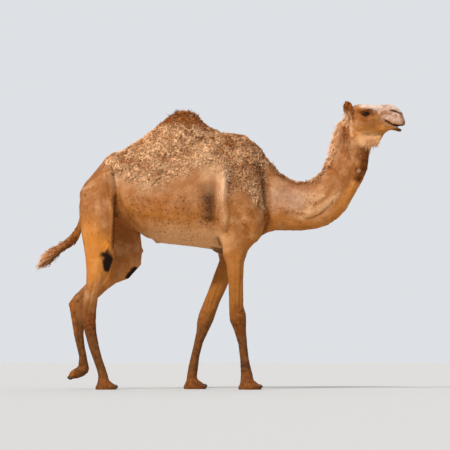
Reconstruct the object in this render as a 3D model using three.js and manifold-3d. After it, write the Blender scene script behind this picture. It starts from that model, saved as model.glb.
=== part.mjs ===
// A life-size standing dromedary camel, in millimetres: it faces +X, its left side is +Y and
// the floor is Z = 0. The body is lofted as a whole, then parted with thin cuts where the head,
// neck, trunk, tail and the lengths of each leg are told apart.
import * as THREE from "three";
import { mergeVertices } from "three/addons/utils/BufferGeometryUtils.js";
import Module from "manifold-3d";

// Driving dimensions
const gap = 0.4; // width of the thin cuts, and of the space round a fitted piece
const humpTop = 2066;
const withersHeight = 1894;
const hipHeight = 1768;
const bellyHeight = 1053;
const barrelHalf = 318; // half widths along Y
const chestHalf = 235;
const hipHalf = 238;
const neckHalf = 96;
const browHalf = 92;
const muzzleHalf = 54;
const eyeRadius = 24;
const eyePlace = [1046, 66, 2031];
const padThickness = 26;

const wasm = await Module();
wasm.setup();

// A closed geometry as a solid that can be joined and cut.
function solid(geometry) {
  geometry.deleteAttribute("normal");
  geometry.deleteAttribute("uv");
  const merged = mergeVertices(geometry, 1e-3);
  const vertProperties = new Float32Array(merged.getAttribute("position").array);
  const triVerts = new Uint32Array(merged.index.array);
  return new wasm.Manifold(new wasm.Mesh({ numProp: 3, vertProperties, triVerts }));
}

// A solid as a mesh with flat faces.
function mesh(name, made, material) {
  const { vertProperties, triVerts } = made.getMesh();
  const geometry = new THREE.BufferGeometry();
  geometry.setAttribute("position", new THREE.BufferAttribute(vertProperties, 3));
  geometry.setIndex(new THREE.BufferAttribute(triVerts, 1));
  const flat = geometry.toNonIndexed();
  flat.computeVertexNormals();
  const result = new THREE.Mesh(flat, material);
  result.name = name;
  return result;
}

// A body through oval sections. Each is [place, a, b, half, y]: a and b are opposite points
// [x, z] of the side outline, half is the half width along Y and y is the middle's own place.
// egg above 0 makes the ovals wider towards b, fill above 2 makes them squarer, and grow moves
// the whole surface out.
function loft(sections, { around = 12, along = 1, egg = 0, fill = 2, grow = 0 } = {}) {
  const curve = (pick) => new THREE.CatmullRomCurve3(sections.map(pick));
  const curveA = curve(([, a]) => new THREE.Vector3(a[0], 0, a[1]));
  const curveB = curve(([, , b]) => new THREE.Vector3(b[0], 0, b[1]));
  const curveY = curve(([, , , half, y = 0], i) => new THREE.Vector3(i * 100, y, half));
  const spine = curve(([, a, b]) => new THREE.Vector3(a[0] + b[0], 0, a[1] + b[1]));
  const tube = new THREE.CylinderGeometry(1, 1, 1, around, (sections.length - 1) * along);
  const place = tube.getAttribute("position");
  const point = new THREE.Vector3();
  for (let i = 0; i < place.count; i++) {
    point.fromBufferAttribute(place, i);
    const share = 0.5 - point.y;
    const a = curveA.getPoint(share);
    const b = curveB.getPoint(share);
    const { y, z: half } = curveY.getPoint(share);
    const norm = Math.abs(point.x) ** fill + Math.abs(point.z) ** fill;
    const round = norm > 0 ? Math.hypot(point.x, point.z) / norm ** (1 / fill) : 0;
    const across = point.x * round;
    const up = point.z * round;
    const middle = a.clone().add(b).multiplyScalar(0.5);
    const reach = a.sub(b).multiplyScalar(0.5);
    reach.setLength(reach.length() + grow);
    middle.addScaledVector(reach, up);
    middle.y = y + (half + grow) * across * (1 - egg * up);
    const end = Math.abs(point.y) < 0.5 ? 0 : -2 * point.y;
    middle.addScaledVector(spine.getTangent(share), end * grow);
    place.setXYZ(i, middle.x, middle.y, middle.z);
  }
  return solid(tube);
}

// A ball stretched to its half sizes, turned about Y and put in place.
function ball([x, y, z], [rx, ry, rz], turn = 0, grow = 0, across = 12, down = 8) {
  const shape = new THREE.SphereGeometry(1, across, down);
  shape.rotateX(Math.PI / 2);
  shape.scale(rx + grow, ry + grow, rz + grow);
  shape.rotateY(turn);
  shape.translate(x, y, z);
  return solid(shape);
}

// A thin wall that stands across the body along a line of [x, z] points, from y = from to y = to.
function cut(line, from, to) {
  const walls = [];
  for (let i = 1; i < line.length; i++) {
    const [x0, z0] = line[i - 1];
    const [x1, z1] = line[i];
    const wall = new THREE.BoxGeometry(Math.hypot(x1 - x0, z1 - z0) + gap, to - from, gap);
    wall.rotateY(-Math.atan2(z1 - z0, x1 - x0));
    wall.translate((x0 + x1) / 2, (from + to) / 2, (z0 + z1) / 2);
    walls.push(solid(wall));
  }
  return walls;
}

// A flat outline of [x, z] points, drawn out along Y from y = from to y = to.
function slice(outline, from, to) {
  const shape = new THREE.Shape(outline.map(([x, z]) => new THREE.Vector2(x, z)));
  const shaped = new THREE.ExtrudeGeometry(shape, { depth: to - from, bevelEnabled: false });
  shaped.rotateX(Math.PI / 2);
  shaped.translate(0, to, 0);
  return solid(shaped);
}

const joined = (solids) => solids.reduce((sum, next) => sum.add(next));

// Trunk, from the point of the rump to the breast
const trunkSections = [
  ["rump point", [-1066, 1456], [-1058, 1370], 30],
  ["tail root", [-1038, 1514], [-1020, 1325], 92],
  ["buttocks", [-978, 1585], [-950, 1300], 160],
  ["croup", [-892, 1702], [-840, 1285], 214],
  ["hip bones", [-818, hipHeight - 8], [-740, 1246], hipHalf],
  ["loins", [-665, 1785], [-590, 1126], 268],
  ["last rib", [-505, 1815], [-450, 1076], 305],
  ["barrel", [-325, 1835], [-300, 1060], barrelHalf],
  ["girth", [-140, 1890], [-140, bellyHeight - 14], 296],
  ["withers", [30, withersHeight + 14], [10, 1014], 258],
  ["shoulder", [165, withersHeight - 8], [150, 1040], chestHalf],
  ["breast", [290, 1775], [258, 1098], 200],
  ["breast front", [350, 1600], [325, 1190], 140],
  ["breast point", [378, 1470], [372, 1300], 50],
];
const trunkShape = { around: 18, egg: 0.1, fill: 2.15 };

// Hump, from the loins over the crown to the withers
const humpSections = [
  ["rear foot", [-850, 1716], [-835, 1660], 20],
  ["rear slope", [-740, 1786], [-725, 1610], 118],
  ["rear rise", [-622, 1856], [-605, 1560], 170],
  ["rear shoulder", [-520, 1936], [-505, 1520], 196],
  ["crown rear", [-425, 2014], [-430, 1500], 204],
  ["crown", [-335, humpTop], [-340, 1500], 196],
  ["crown front", [-252, humpTop], [-250, 1515], 184],
  ["front slope", [-188, 2030], [-180, 1560], 160],
  ["front fall", [-122, 1958], [-105, 1650], 122],
  ["front foot", [-50, 1922], [-40, 1730], 70],
  ["withers", [28, 1886], [28, 1800], 20],
];
const humpShape = { around: 16, egg: 0.25 };

// Neck: it dips from the breast, bends and rises to the head
const neckSections = [
  ["inside the trunk", [120, 1775], [105, 1160], 150],
  ["base", [290, 1772], [280, 1142], 148],
  ["lower", [420, 1614], [385, 1168], 122],
  ["dip", [540, 1548], [510, 1170], 106],
  ["bend", [618, 1550], [668, 1176], neckHalf],
  ["front bend", [660, 1568], [764, 1208], 94],
  ["rise", [690, 1590], [840, 1254], 92],
  ["front rise", [709, 1613], [905, 1320], 90],
  ["middle", [727, 1642], [956, 1412], 88],
  ["upper", [762, 1716], [1024, 1530], 84],
  ["nape", [788, 1795], [1066, 1632], 79],
  ["upper nape", [808, 1888], [1078, 1742], 74],
  ["behind the poll", [846, 1976], [1094, 1800], 68],
  ["throat", [908, 2020], [1136, 1818], 58],
  ["inside the head", [985, 2040], [1150, 1880], 46],
];
const neckShape = { around: 14 };

// Head, from the poll to the tip of the upper lip
const headSections = [
  ["poll", [908, 2052], [925, 1940], 42],
  ["behind the ears", [943, 2088], [950, 1886], 70],
  ["temples", [975, 2105], [982, 1866], 82],
  ["brow rear", [1013, 2113], [1018, 1860], 90],
  ["brow", [1058, 2113], [1078, 1868], browHalf],
  ["face", [1102, 2108], [1132, 1886], 78],
  ["bridge", [1146, 2102], [1188, 1890], 62],
  ["nose rear", [1191, 2107], [1226, 1919], muzzleHalf],
  ["nostrils", [1236, 2107], [1266, 1918], muzzleHalf + 1],
  ["nose front", [1275, 2093], [1295, 1911], muzzleHalf + 1],
  ["lips", [1306, 2066], [1310, 1914], 50],
  ["lips front", [1323, 2040], [1322, 1922], 41],
  ["upper lip", [1337, 2002], [1333, 1942], 27],
  ["lip tip", [1343, 1981], [1342, 1960], 10],
];
const headShape = { around: 16, fill: 2.2 };

// The mouth: a slit that opens from the corner to the lips, and goes on as a thin cut under
// the cheek, so that the lower jaw is a part of its own
const mouthCorner = [1186, 1993];
const mouthOpening = [
  mouthCorner,
  [1214, 1977],
  [1250, 1957],
  [1290, 1954],
  [1365, 1953],
  [1365, 1895],
  [1318, 1903],
  [1311, 1922],
  [1290, 1934],
  [1262, 1938],
  [1243, 1952],
  [1210, 1972],
];
const jawLine = [mouthCorner, [1080, 1960], [935, 1938]];
const throatLine = [
  [870, 2066],
  [922, 2030],
  [937, 1980],
  [940, 1886],
  [975, 1862],
  [1080, 1864],
  [1180, 1868],
];

// Hair under the throat, which hangs in a short beard
const beardSections = [
  ["jaw angle", [1030, 1905], [985, 1860], 30],
  ["under the jaw", [1120, 1905], [1075, 1796], 42],
  ["beard", [1172, 1905], [1136, 1806], 26],
  ["beard front", [1192, 1905], [1176, 1868], 8],
];

// Legs: half width along Y and distance of the middle from the body's own middle, by place
const foreLeg = {
  blade: [24, 122],
  shoulder: [62, 170],
  "upper arm": [74, 170],
  elbow: [70, 166],
  "below elbow": [58, 162],
  forearm: [52, 158],
  "forearm middle": [46, 154],
  "above knee": [46, 151],
  "knee top": [56, 150],
  knee: [58, 150],
  "below knee": [46, 149],
  cannon: [33, 148],
  "above fetlock": [34, 148],
  fetlock: [45, 149],
  pastern: [46, 150],
};
const hindLeg = {
  hip: [42, 130],
  haunch: [78, 150],
  thigh: [92, 158],
  "thigh middle": [88, 166],
  "above stifle": [80, 172],
  stifle: [70, 176],
  "below stifle": [58, 170],
  gaskin: [50, 160],
  "lower gaskin": [44, 150],
  "above hock": [41, 143],
  hock: [45, 140],
  "below hock": [40, 139],
  cannon: [31, 139],
  "lower cannon": [30, 141],
  "above fetlock": [34, 143],
  fetlock: [43, 145],
};

// Joins the side outline of a leg to its widths. side is -1 on the right and 1 on the left.
function legSections(widths, side, outline) {
  return outline.map(([place, a, b]) => [place, a, b, widths[place][0], side * widths[place][1]]);
}

const rightForeOutline = [
  ["blade", [160, 1740], [75, 1740]],
  ["shoulder", [280, 1545], [-15, 1510]],
  ["upper arm", [300, 1310], [-30, 1265]],
  ["elbow", [250, 1100], [-15, 1080]],
  ["below elbow", [180, 1022], [-10, 985]],
  ["forearm", [147, 930], [15, 910]],
  ["forearm middle", [142, 770], [31, 770]],
  ["above knee", [146, 612], [35, 612]],
  ["knee top", [163, 556], [36, 556]],
  ["knee", [166, 500], [42, 498]],
  ["below knee", [164, 436], [72, 430]],
  ["cannon", [170, 335], [104, 335]],
  ["above fetlock", [180, 232], [118, 230]],
  ["fetlock", [193, 170], [122, 165]],
  ["pastern", [210, 110], [124, 100]],
];
const leftForeOutline = [
  ["blade", [160, 1740], [75, 1740]],
  ["shoulder", [280, 1530], [-15, 1510]],
  ["upper arm", [280, 1295], [-60, 1250]],
  ["elbow", [190, 1105], [-60, 1060]],
  ["below elbow", [120, 985], [-35, 960]],
  ["forearm", [75, 880], [-68, 870]],
  ["forearm middle", [27, 765], [-116, 745]],
  ["above knee", [-32, 640], [-164, 622]],
  ["knee top", [-56, 572], [-188, 560]],
  ["knee", [-76, 508], [-202, 500]],
  ["below knee", [-106, 446], [-206, 436]],
  ["cannon", [-155, 345], [-225, 335]],
  ["above fetlock", [-182, 245], [-249, 232]],
  ["fetlock", [-192, 170], [-265, 157]],
  ["pastern", [-202, 92], [-276, 92]],
];
const rightHindOutline = [
  ["hip", [-770, 1690], [-950, 1560]],
  ["haunch", [-770, 1545], [-1050, 1470]],
  ["thigh", [-790, 1360], [-1066, 1350]],
  ["thigh middle", [-798, 1190], [-1056, 1190]],
  ["above stifle", [-802, 1060], [-1036, 1080]],
  ["stifle", [-804, 965], [-1020, 975]],
  ["below stifle", [-842, 865], [-1011, 880]],
  ["gaskin", [-886, 778], [-1012, 785]],
  ["lower gaskin", [-922, 680], [-1032, 680]],
  ["above hock", [-934, 585], [-1042, 570]],
  ["hock", [-938, 495], [-1040, 482]],
  ["below hock", [-933, 412], [-1020, 405]],
  ["cannon", [-918, 325], [-992, 310]],
  ["lower cannon", [-896, 235], [-962, 230]],
  ["above fetlock", [-870, 160], [-935, 155]],
  ["fetlock", [-852, 108], [-920, 100]],
];
const leftHindOutline = [
  ["hip", [-755, 1690], [-945, 1560]],
  ["haunch", [-715, 1530], [-1020, 1470]],
  ["thigh", [-660, 1340], [-1035, 1335]],
  ["thigh middle", [-620, 1165], [-985, 1175]],
  ["above stifle", [-610, 1030], [-930, 1060]],
  ["stifle", [-616, 926], [-905, 985]],
  ["below stifle", [-708, 822], [-940, 905]],
  ["gaskin", [-800, 787], [-990, 830]],
  ["lower gaskin", [-866, 738], [-1050, 762]],
  ["above hock", [-940, 672], [-1112, 700]],
  ["hock", [-1010, 588], [-1162, 636]],
  ["below hock", [-1036, 492], [-1138, 520]],
  ["cannon", [-1044, 405], [-1118, 405]],
  ["lower cannon", [-1034, 312], [-1094, 310]],
  ["above fetlock", [-1020, 238], [-1076, 240]],
  ["fetlock", [-1008, 172], [-1082, 188]],
];

// A foot that stands: the pastern spreads into a broad flat pad. back is the pad's rear edge
// and the pastern's two edges are [front, back] at its height.
function standingFoot(side, out, back, length, half, pastern, height) {
  const y = side * out;
  const [front, rear] = pastern;
  const tip = back + length;
  const towards = (share) => front + (tip - front) * share;
  return [
    ["pastern", [front, height], [rear, height], 42, y],
    ["coronet", [towards(0.14), 68], [rear - 3, 66], half * 0.66, y],
    ["toes", [towards(0.56), 43], [back + length * 0.06, 40], half * 0.88, y],
    ["pad edge", [tip, 20], [back, 19], half, y],
    ["sole", [tip - 5, 0], [back + 5, 0], half * 0.93, y],
  ];
}
const feet = {
  fore_foot_right: standingFoot(-1, 152, 106, 172, 86, [208, 124], 112),
  fore_foot_left: standingFoot(1, 152, -300, 172, 86, [-202, -276], 94),
  hind_foot_right: standingFoot(-1, 148, -940, 158, 76, [-853, -920], 108),
};
const footShape = { around: 12, egg: -0.12 };

// The foot that is lifted: it hangs bent back, with its sole up and its toes to the rear.
const liftedSections = [
  ["fetlock", [-1008, 180], [-1080, 190], 42, 145],
  ["pastern", [-1003, 150], [-1082, 172], 46, 146],
  ["heel", [-1012, 122], [-1094, 160], 58, 147],
  ["pad", [-1046, 96], [-1116, 148], 72, 148],
  ["pad front", [-1090, 80], [-1140, 130], 74, 148],
  ["toes", [-1130, 76], [-1154, 108], 56, 148],
  ["toe tips", [-1152, 86], [-1158, 96], 26, 148],
];

// The cleft between the two toes, open to the front of the foot
const cleftHalf = 7;
function cleft([tipX, tipZ], [rearX, rearZ], y) {
  const wedge = new THREE.CylinderGeometry(cleftHalf, 0.5, 1, 3, 1);
  const reach = new THREE.Vector3(tipX - rearX, 0, tipZ - rearZ);
  wedge.scale(1, reach.length(), 9);
  wedge.rotateZ(-Math.PI / 2);
  wedge.rotateY(-Math.atan2(reach.z, reach.x));
  wedge.translate((tipX + rearX) / 2, y, (tipZ + rearZ) / 2);
  return solid(wedge);
}

// Tail, from the root down the rump and back to the tip of its tassel
const tailSections = [
  ["root", [-1012, 1490], [-1062, 1478], 24],
  ["on the rump", [-1018, 1400], [-1068, 1392], 24],
  ["free", [-1022, 1270], [-1070, 1262], 23],
  ["bend", [-1044, 1180], [-1085, 1214], 23],
  ["swing", [-1072, 1112], [-1118, 1156], 25],
  ["dock end", [-1128, 1058], [-1166, 1116], 29],
  ["tassel", [-1192, 1010], [-1218, 1073], 33],
  ["tassel middle", [-1236, 972], [-1268, 1050], 34],
  ["tassel end", [-1282, 926], [-1312, 1018], 28],
  ["tassel tip", [-1328, 908], [-1344, 966], 16],
  ["hair tip", [-1346, 912], [-1354, 926], 5],
];
const tailShape = { around: 10 };

// Ear: a leaf of skin, flat and cupped, that stands up and out from the rear of the head
function ear(side) {
  const sections = [
    ["root", [932, 2000], [968, 2000], 20, side * 60],
    ["neck", [902, 2036], [962, 2040], 20, side * 72],
    ["blade", [886, 2068], [953, 2080], 17, side * 84],
    ["upper blade", [883, 2102], [946, 2108], 13, side * 93],
    ["tip", [892, 2121], [926, 2122], 6, side * 98],
  ];
  const cup = ball([918, side * 103, 2083], [27, 15, 34], 0.12, 0, 8, 6);
  const leaf = loft(sections, { around: 8 });
  return leaf.subtract(cup).subtract(loft(headSections, { ...headShape, grow: gap }));
}

// Lower front teeth, in an arc behind the lower lip
function teeth(jaw) {
  const row = [];
  const count = 6;
  for (let i = 0; i < count; i++) {
    const turn = ((i - (count - 1) / 2) / (count - 1)) * 1.5;
    const place = [1262 + 24 * Math.cos(turn), 27 * Math.sin(turn), 1936];
    row.push(ball(place, [5, 5.6, 13], -0.35, 0, 6, 3));
  }
  return joined(row).subtract(jaw);
}

// Two nails on the front of a foot, one for each toe
function nail([x, y, z], turn, foot) {
  return ball([x, y, z], [21, 21, 14], turn, 0, 7, 5).subtract(foot);
}

// The whole body, before it is parted
const legs = [
  legSections(foreLeg, -1, rightForeOutline),
  legSections(foreLeg, 1, leftForeOutline),
  legSections(hindLeg, -1, rightHindOutline),
  legSections(hindLeg, 1, leftHindOutline),
];
const clefts = [
  cleft([284, 12], [222, 34], -152),
  cleft([-116, 12], [-178, 34], 152),
  cleft([-782, 12], [-836, 32], -148),
  cleft([-1162, 92], [-1104, 108], 148),
];
const sockets = [-1, 1].map((side) => {
  const [x, y, z] = eyePlace;
  return ball([x, side * y, z], [eyeRadius, eyeRadius, eyeRadius], 0, gap, 10, 8);
});
const body = joined([
  loft(trunkSections, trunkShape),
  loft(humpSections, humpShape),
  loft(neckSections, neckShape),
  loft(headSections, headShape),
  loft(beardSections, { around: 8 }),
  ...legs.map((sections) => loft(sections)),
  ...Object.values(feet).map((sections) => loft(sections, footShape)),
  loft(liftedSections, footShape),
])
  .subtract(joined(clefts))
  .subtract(joined(sockets));

// The cuts: each line runs across the body in side view
const humpLine = [
  [-870, 1748],
  [95, 1908],
];
const humpAt = (x) => humpLine[0][1] + ((x - humpLine[0][0]) * 160) / 965;
const trunkCuts = [
  ...cut(humpLine, -400, 400),
  ...cut([[-597, humpAt(-597)], [-597, 1090]], -400, 400),
  ...cut([[-78, humpAt(-78)], [-84, 990]], -400, 400),
];
const neckCuts = [
  ...cut([[352, 1790], [262, 1100]], -260, 260),
  ...cut([[548, 1600], [505, 1120]], -200, 200),
  ...cut([[690, 1670], [1000, 1370]], -200, 200),
];
const headCuts = [...cut(throatLine, -140, 140), ...cut(jawLine, -140, 140)];
headCuts.push(slice(mouthOpening, -140, 140));

// A leg's own cuts, kept to its side of the body
function legCuts(side, lines) {
  const [from, to] = side < 0 ? [-300, -60] : [60, 300];
  return lines.flatMap((line) => cut(line, from, to));
}
const allLegCuts = [
  ...legCuts(-1, [
    [[262, 1108], [-60, 990]],
    [[200, 494], [10, 494]],
    [[225, 186], [85, 190]],
    [[-750, 1140], [-1110, 1385]],
    [[-770, 940], [-1060, 912]],
    [[-900, 500], [-1080, 480]],
    [[-820, 138], [-970, 132]],
  ]),
  ...legCuts(1, [
    [[225, 1092], [-110, 962]],
    [[-40, 514], [-240, 494]],
    [[-160, 190], [-290, 182]],
    [[-570, 1165], [-1090, 1372]],
    [[-570, 922], [-960, 960]],
    [[-980, 558], [-1200, 606]],
    [[-970, 208], [-1120, 216]],
  ]),
];
const parts = body
  .subtract(joined([...trunkCuts, ...neckCuts, ...headCuts, ...allLegCuts]))
  .decompose();

// Each part is known by a point inside its box: the part whose middle lies nearest has the name
const middles = {
  hump: [-340, 0, 1930],
  rump: [-800, 0, 1500],
  barrel: [-340, 0, 1420],
  chest: [120, 0, 1450],
  neck_lower: [440, 0, 1380],
  neck_middle: [720, 0, 1450],
  neck_upper: [930, 0, 1760],
  head: [1130, 0, 2020],
  lower_jaw: [1120, 0, 1925],
  forearm_right: [100, -160, 780],
  forearm_left: [10, 160, 780],
  fore_cannon_right: [125, -150, 340],
  fore_cannon_left: [-180, 150, 340],
  fore_foot_right: [190, -150, 95],
  fore_foot_left: [-210, 150, 95],
  thigh_right: [-930, -165, 1130],
  thigh_left: [-820, 165, 1130],
  gaskin_right: [-930, -155, 700],
  gaskin_left: [-900, 155, 760],
  hind_cannon_right: [-950, -140, 310],
  hind_cannon_left: [-1080, 140, 400],
  hind_foot_right: [-860, -148, 70],
  hind_foot_left: [-1085, 148, 130],
};
function nearest(pieces, [x, y, z]) {
  const from = new THREE.Vector3(x, y, z);
  const distance = (piece) => {
    const { min, max } = piece.boundingBox();
    return new THREE.Vector3(...min).add(new THREE.Vector3(...max)).multiplyScalar(0.5).distanceTo(from);
  };
  return pieces.reduce((best, piece) => (distance(piece) < distance(best) ? piece : best));
}

// Colours of the coat, and of the bare and horny parts
const colours = {
  wool: 0xa9835c,
  coat: 0xcaa884,
  face: 0xd9bda4,
  leg: 0x9a7047,
  foot: 0x7c5c42,
  tail: 0x6e4f35,
  callus: 0x4a3829,
  nail: 0x3b3028,
  eye: 0x1c120c,
  tooth: 0xe2d6bc,
};
const finish = {
  nail: 0.5,
  eye: 0.08,
  tooth: 0.35,
};
function material(kind) {
  return new THREE.MeshStandardMaterial({
    color: colours[kind],
    roughness: finish[kind] ?? 0.95,
    metalness: 0,
  });
}
function kindOf(name) {
  if (name === "hump") return "wool";
  if (name === "head" || name === "lower_jaw") return "face";
  if (name.includes("foot")) return "foot";
  if (name.includes("cannon")) return "leg";
  return "coat";
}

const group = new THREE.Group();
for (const [name, middle] of Object.entries(middles)) {
  group.add(mesh(name, nearest(parts, middle), material(kindOf(name))));
}

// Ears and eyes
const sides = { right: -1, left: 1 };
for (const [word, side] of Object.entries(sides)) {
  group.add(mesh(`ear_${word}`, ear(side), material("tail")));
  const [x, y, z] = eyePlace;
  const eyeball = ball([x, side * y, z], [eyeRadius, eyeRadius, eyeRadius], 0, 0, 10, 8);
  group.add(mesh(`eye_${word}`, eyeball, material("eye")));
}

// Teeth
group.add(mesh("lower_teeth", teeth(nearest(parts, middles.lower_jaw)), material("tooth")));

// The callus under the breastbone, on which the animal lies down
const grownTrunk = loft(trunkSections, { ...trunkShape, grow: gap });
const callus = ball([2, 0, 1022], [92, 82, padThickness], 0.12).subtract(grownTrunk);
group.add(mesh("chest_pad", callus, material("callus")));

// The tail in three lengths, its root fitted to the rump
const tailCuts = [
  ...cut([[-990, 1205], [-1120, 1240]], -80, 80),
  ...cut([[-1110, 1020], [-1200, 1130]], -80, 80),
];
const tailParts = loft(tailSections, tailShape)
  .subtract(grownTrunk)
  .subtract(joined(tailCuts))
  .decompose();
const tailMiddles = {
  tail_root: [-1045, 0, 1340],
  tail_middle: [-1095, 0, 1130],
  tail_tassel: [-1245, 0, 1010],
};
for (const [name, middle] of Object.entries(tailMiddles)) {
  group.add(mesh(name, nearest(tailParts, middle), material("tail")));
}

// Nails
const grownFeet = Object.fromEntries(
  Object.entries(feet).map(([name, sections]) => [name, loft(sections, { ...footShape, grow: gap })]),
);
grownFeet.hind_foot_left = loft(liftedSections, { ...footShape, grow: gap });
const nailPlaces = {
  fore_foot_right: [[264, -186, 24], [264, -118, 24]],
  fore_foot_left: [[-142, 118, 24], [-142, 186, 24]],
  hind_foot_right: [[-796, -178, 22], [-796, -118, 22]],
  hind_foot_left: [[-1144, 115, 84], [-1144, 181, 84]],
};
for (const [foot, places] of Object.entries(nailPlaces)) {
  places.forEach((place, i) => {
    const name = `${foot.replace("foot", "nail")}_${i + 1}`;
    group.add(mesh(name, nail(place, 0.3, grownFeet[foot]), material("nail")));
  });
}

// The origin is the middle of the animal's box, on the floor
const box = new THREE.Box3().setFromObject(group);
const centre = box.getCenter(new THREE.Vector3());
group.position.set(-centre.x, -centre.y, -box.min.z);

export default group;
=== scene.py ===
import bpy
import math
import time
import numpy as np
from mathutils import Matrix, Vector
from mathutils.kdtree import KDTree


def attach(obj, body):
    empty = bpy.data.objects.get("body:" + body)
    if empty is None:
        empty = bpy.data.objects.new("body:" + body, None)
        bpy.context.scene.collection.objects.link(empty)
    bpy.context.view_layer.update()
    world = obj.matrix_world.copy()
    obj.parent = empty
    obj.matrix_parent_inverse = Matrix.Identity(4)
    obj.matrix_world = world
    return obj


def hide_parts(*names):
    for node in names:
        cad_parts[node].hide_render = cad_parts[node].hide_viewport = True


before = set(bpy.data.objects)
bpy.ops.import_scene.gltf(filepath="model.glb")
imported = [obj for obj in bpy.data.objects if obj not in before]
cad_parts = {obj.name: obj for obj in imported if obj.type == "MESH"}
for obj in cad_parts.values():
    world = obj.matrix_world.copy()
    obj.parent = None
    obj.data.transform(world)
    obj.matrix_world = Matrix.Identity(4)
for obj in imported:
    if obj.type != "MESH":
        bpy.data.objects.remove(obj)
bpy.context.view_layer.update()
started = time.time()


def say(words):
    print(f"{time.time() - started:6.1f} s  {words}", flush=True)


# camera: low beside the animal, looking slightly up at it from its right

view = {
    "place": (0.0129, -20.0, 0.26),
    "aim": (0.0129, 0.0, 1.2136),
    "frameWidth": 3.33,  # metres across the picture where the animal stands
    "sensor": 36.0,
    "nearest": 0.1,
    "farthest": 400,
}
cameraData = bpy.data.cameras.new("camera")
camera = bpy.data.objects.new("camera", cameraData)
bpy.context.collection.objects.link(camera)
camera.location = view["place"]
towards = Vector(view["aim"]) - Vector(view["place"])
camera.rotation_euler = towards.to_track_quat("-Z", "Y").to_euler()
cameraData.sensor_width = view["sensor"]
cameraData.lens = view["sensor"] * towards.length / view["frameWidth"]
cameraData.clip_start = view["nearest"]
cameraData.clip_end = view["farthest"]
bpy.context.scene.camera = camera


# helpers for selecting, reading and writing meshes


def selectOnly(*objects):
    bpy.ops.object.select_all(action="DESELECT")
    for o in objects:
        o.select_set(True)
    bpy.context.view_layer.objects.active = objects[0]


def applyModifier(o, kind, **settings):
    selectOnly(o)
    modifier = o.modifiers.new(kind.lower(), kind)
    for name, value in settings.items():
        setattr(modifier, name, value)
    bpy.ops.object.modifier_apply(modifier=modifier.name)


def readRows(items, called, width, kind=np.float32):
    flat = np.empty(len(items) * width, kind)
    items.foreach_get(called, flat)
    return flat.reshape(-1, width)


def readPoints(mesh):
    return readRows(mesh.vertices, "co", 3).astype(float)


def readNormals(mesh):
    return readRows(mesh.vertex_normals, "vector", 3).astype(float)


def readEdges(mesh):
    return readRows(mesh.edges, "vertices", 2, np.int32)


def writePoints(mesh, points):
    mesh.vertices.foreach_set("co", points.astype(np.float32).ravel())
    mesh.update()


def pushOut(mesh, points, amount):
    # moves the points along the normals that they give the mesh
    writePoints(mesh, points)
    points = points + readNormals(mesh) * np.reshape(amount, (-1, 1))
    writePoints(mesh, points)
    return points


def smoothStep(low, high, value):
    share = np.clip((value - low) / (high - low), 0, 1)
    return share * share * (3 - 2 * share)


def lattice(points, size, seed):
    # smooth random values between -1 and 1, with hills about size across
    table = np.random.default_rng(seed).uniform(-1, 1, (32, 32, 32))
    at = points / size
    cell = np.floor(at).astype(int)
    part = at - cell
    part = part * part * (3 - 2 * part)
    total = np.zeros(len(points))
    for corner in range(8):
        step = np.array([corner & 1, corner >> 1 & 1, corner >> 2 & 1])
        weight = np.prod(np.where(step, part, 1 - part), axis=1)
        i, j, k = ((cell + step) % 32).T
        total += weight * table[i, j, k]
    return total


def farFromPath(flat, path):
    # distance of 2-D points from a line of points
    path = np.array(path, float)
    if len(path) == 1:
        return np.linalg.norm(flat - path[0], axis=1)
    best = np.full(len(flat), 1e9)
    for start, run in zip(path[:-1], np.diff(path, axis=0)):
        length = np.linalg.norm(run)
        share = np.clip(((flat - start) @ run) / (length * length), 0, 1)
        best = np.minimum(best, np.linalg.norm(flat - start - share[:, None] * run, axis=1))
    return best


# the skin: copies of the nodes of flesh, joined, remeshed as one and smoothed

skin = {
    "voxel": 0.0055,
    "overlap": 0.0012,  # each copy grows by this, to close the thin cuts between nodes
    "evenVoxel": 0.016,  # a coarse, well smoothed copy gives the trunk its even curves
    "evenRounds": 70,
    "limbRounds": 9,
    "limbFill": 0.0012,  # what smoothing takes off the limbs
    "keepFaces": 0.262,  # share of the faces left on the broad parts
}
bare = ("nail", "teeth")
fleshNodes = [n for n in sorted(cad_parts) if not any(word in n for word in bare)]


def joinCopies(names, called, grow):
    copies = []
    for name in names:
        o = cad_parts[name].copy()
        o.data = o.data.copy()
        o.parent = None
        for key in list(o.keys()):
            del o[key]
        bpy.context.collection.objects.link(o)
        copies.append(o)
    selectOnly(*copies)
    bpy.ops.object.join()
    o = bpy.context.object
    o.name = o.data.name = called
    bpy.ops.object.mode_set(mode="EDIT")
    bpy.ops.mesh.select_all(action="SELECT")
    bpy.ops.mesh.remove_doubles(threshold=0.00001)
    if grow:
        bpy.ops.transform.shrink_fatten(value=grow)
    bpy.ops.object.mode_set(mode="OBJECT")
    o.data.materials.clear()
    return o


def remesh(o, size):
    selectOnly(o)
    o.data.remesh_voxel_size = size
    bpy.ops.object.voxel_remesh()


def relax(points, edges, share, rounds, inward=0.5, outward=-0.52):
    # evens out a mesh by share, 0 to 1 at each vertex; with outward 0 it also shrinks a little
    counts = np.bincount(edges.ravel(), minlength=len(points))[:, None]
    first, second = edges[:, 0], edges[:, 1]
    for turn in range(rounds * 2):
        pull = inward if turn % 2 == 0 else outward
        if pull == 0:
            continue
        total = np.zeros_like(points)
        for axis in range(3):
            total[:, axis] = np.bincount(first, points[second, axis], len(points))
            total[:, axis] += np.bincount(second, points[first, axis], len(points))
        points = points + (total / counts - points) * (share * pull)[:, None]
    return points


def broadness(points):
    # 1 on the trunk and neck, 0 on the head, tail and legs below the elbows and stifles
    x, y, z = points.T
    legs = smoothStep(0.98, 1.2, z)
    head = smoothStep(0.98, 0.86, x + (z - 1.75) * 0.5)
    tail = smoothStep(-1.07, -1.0, x)
    return legs * head * tail


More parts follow.
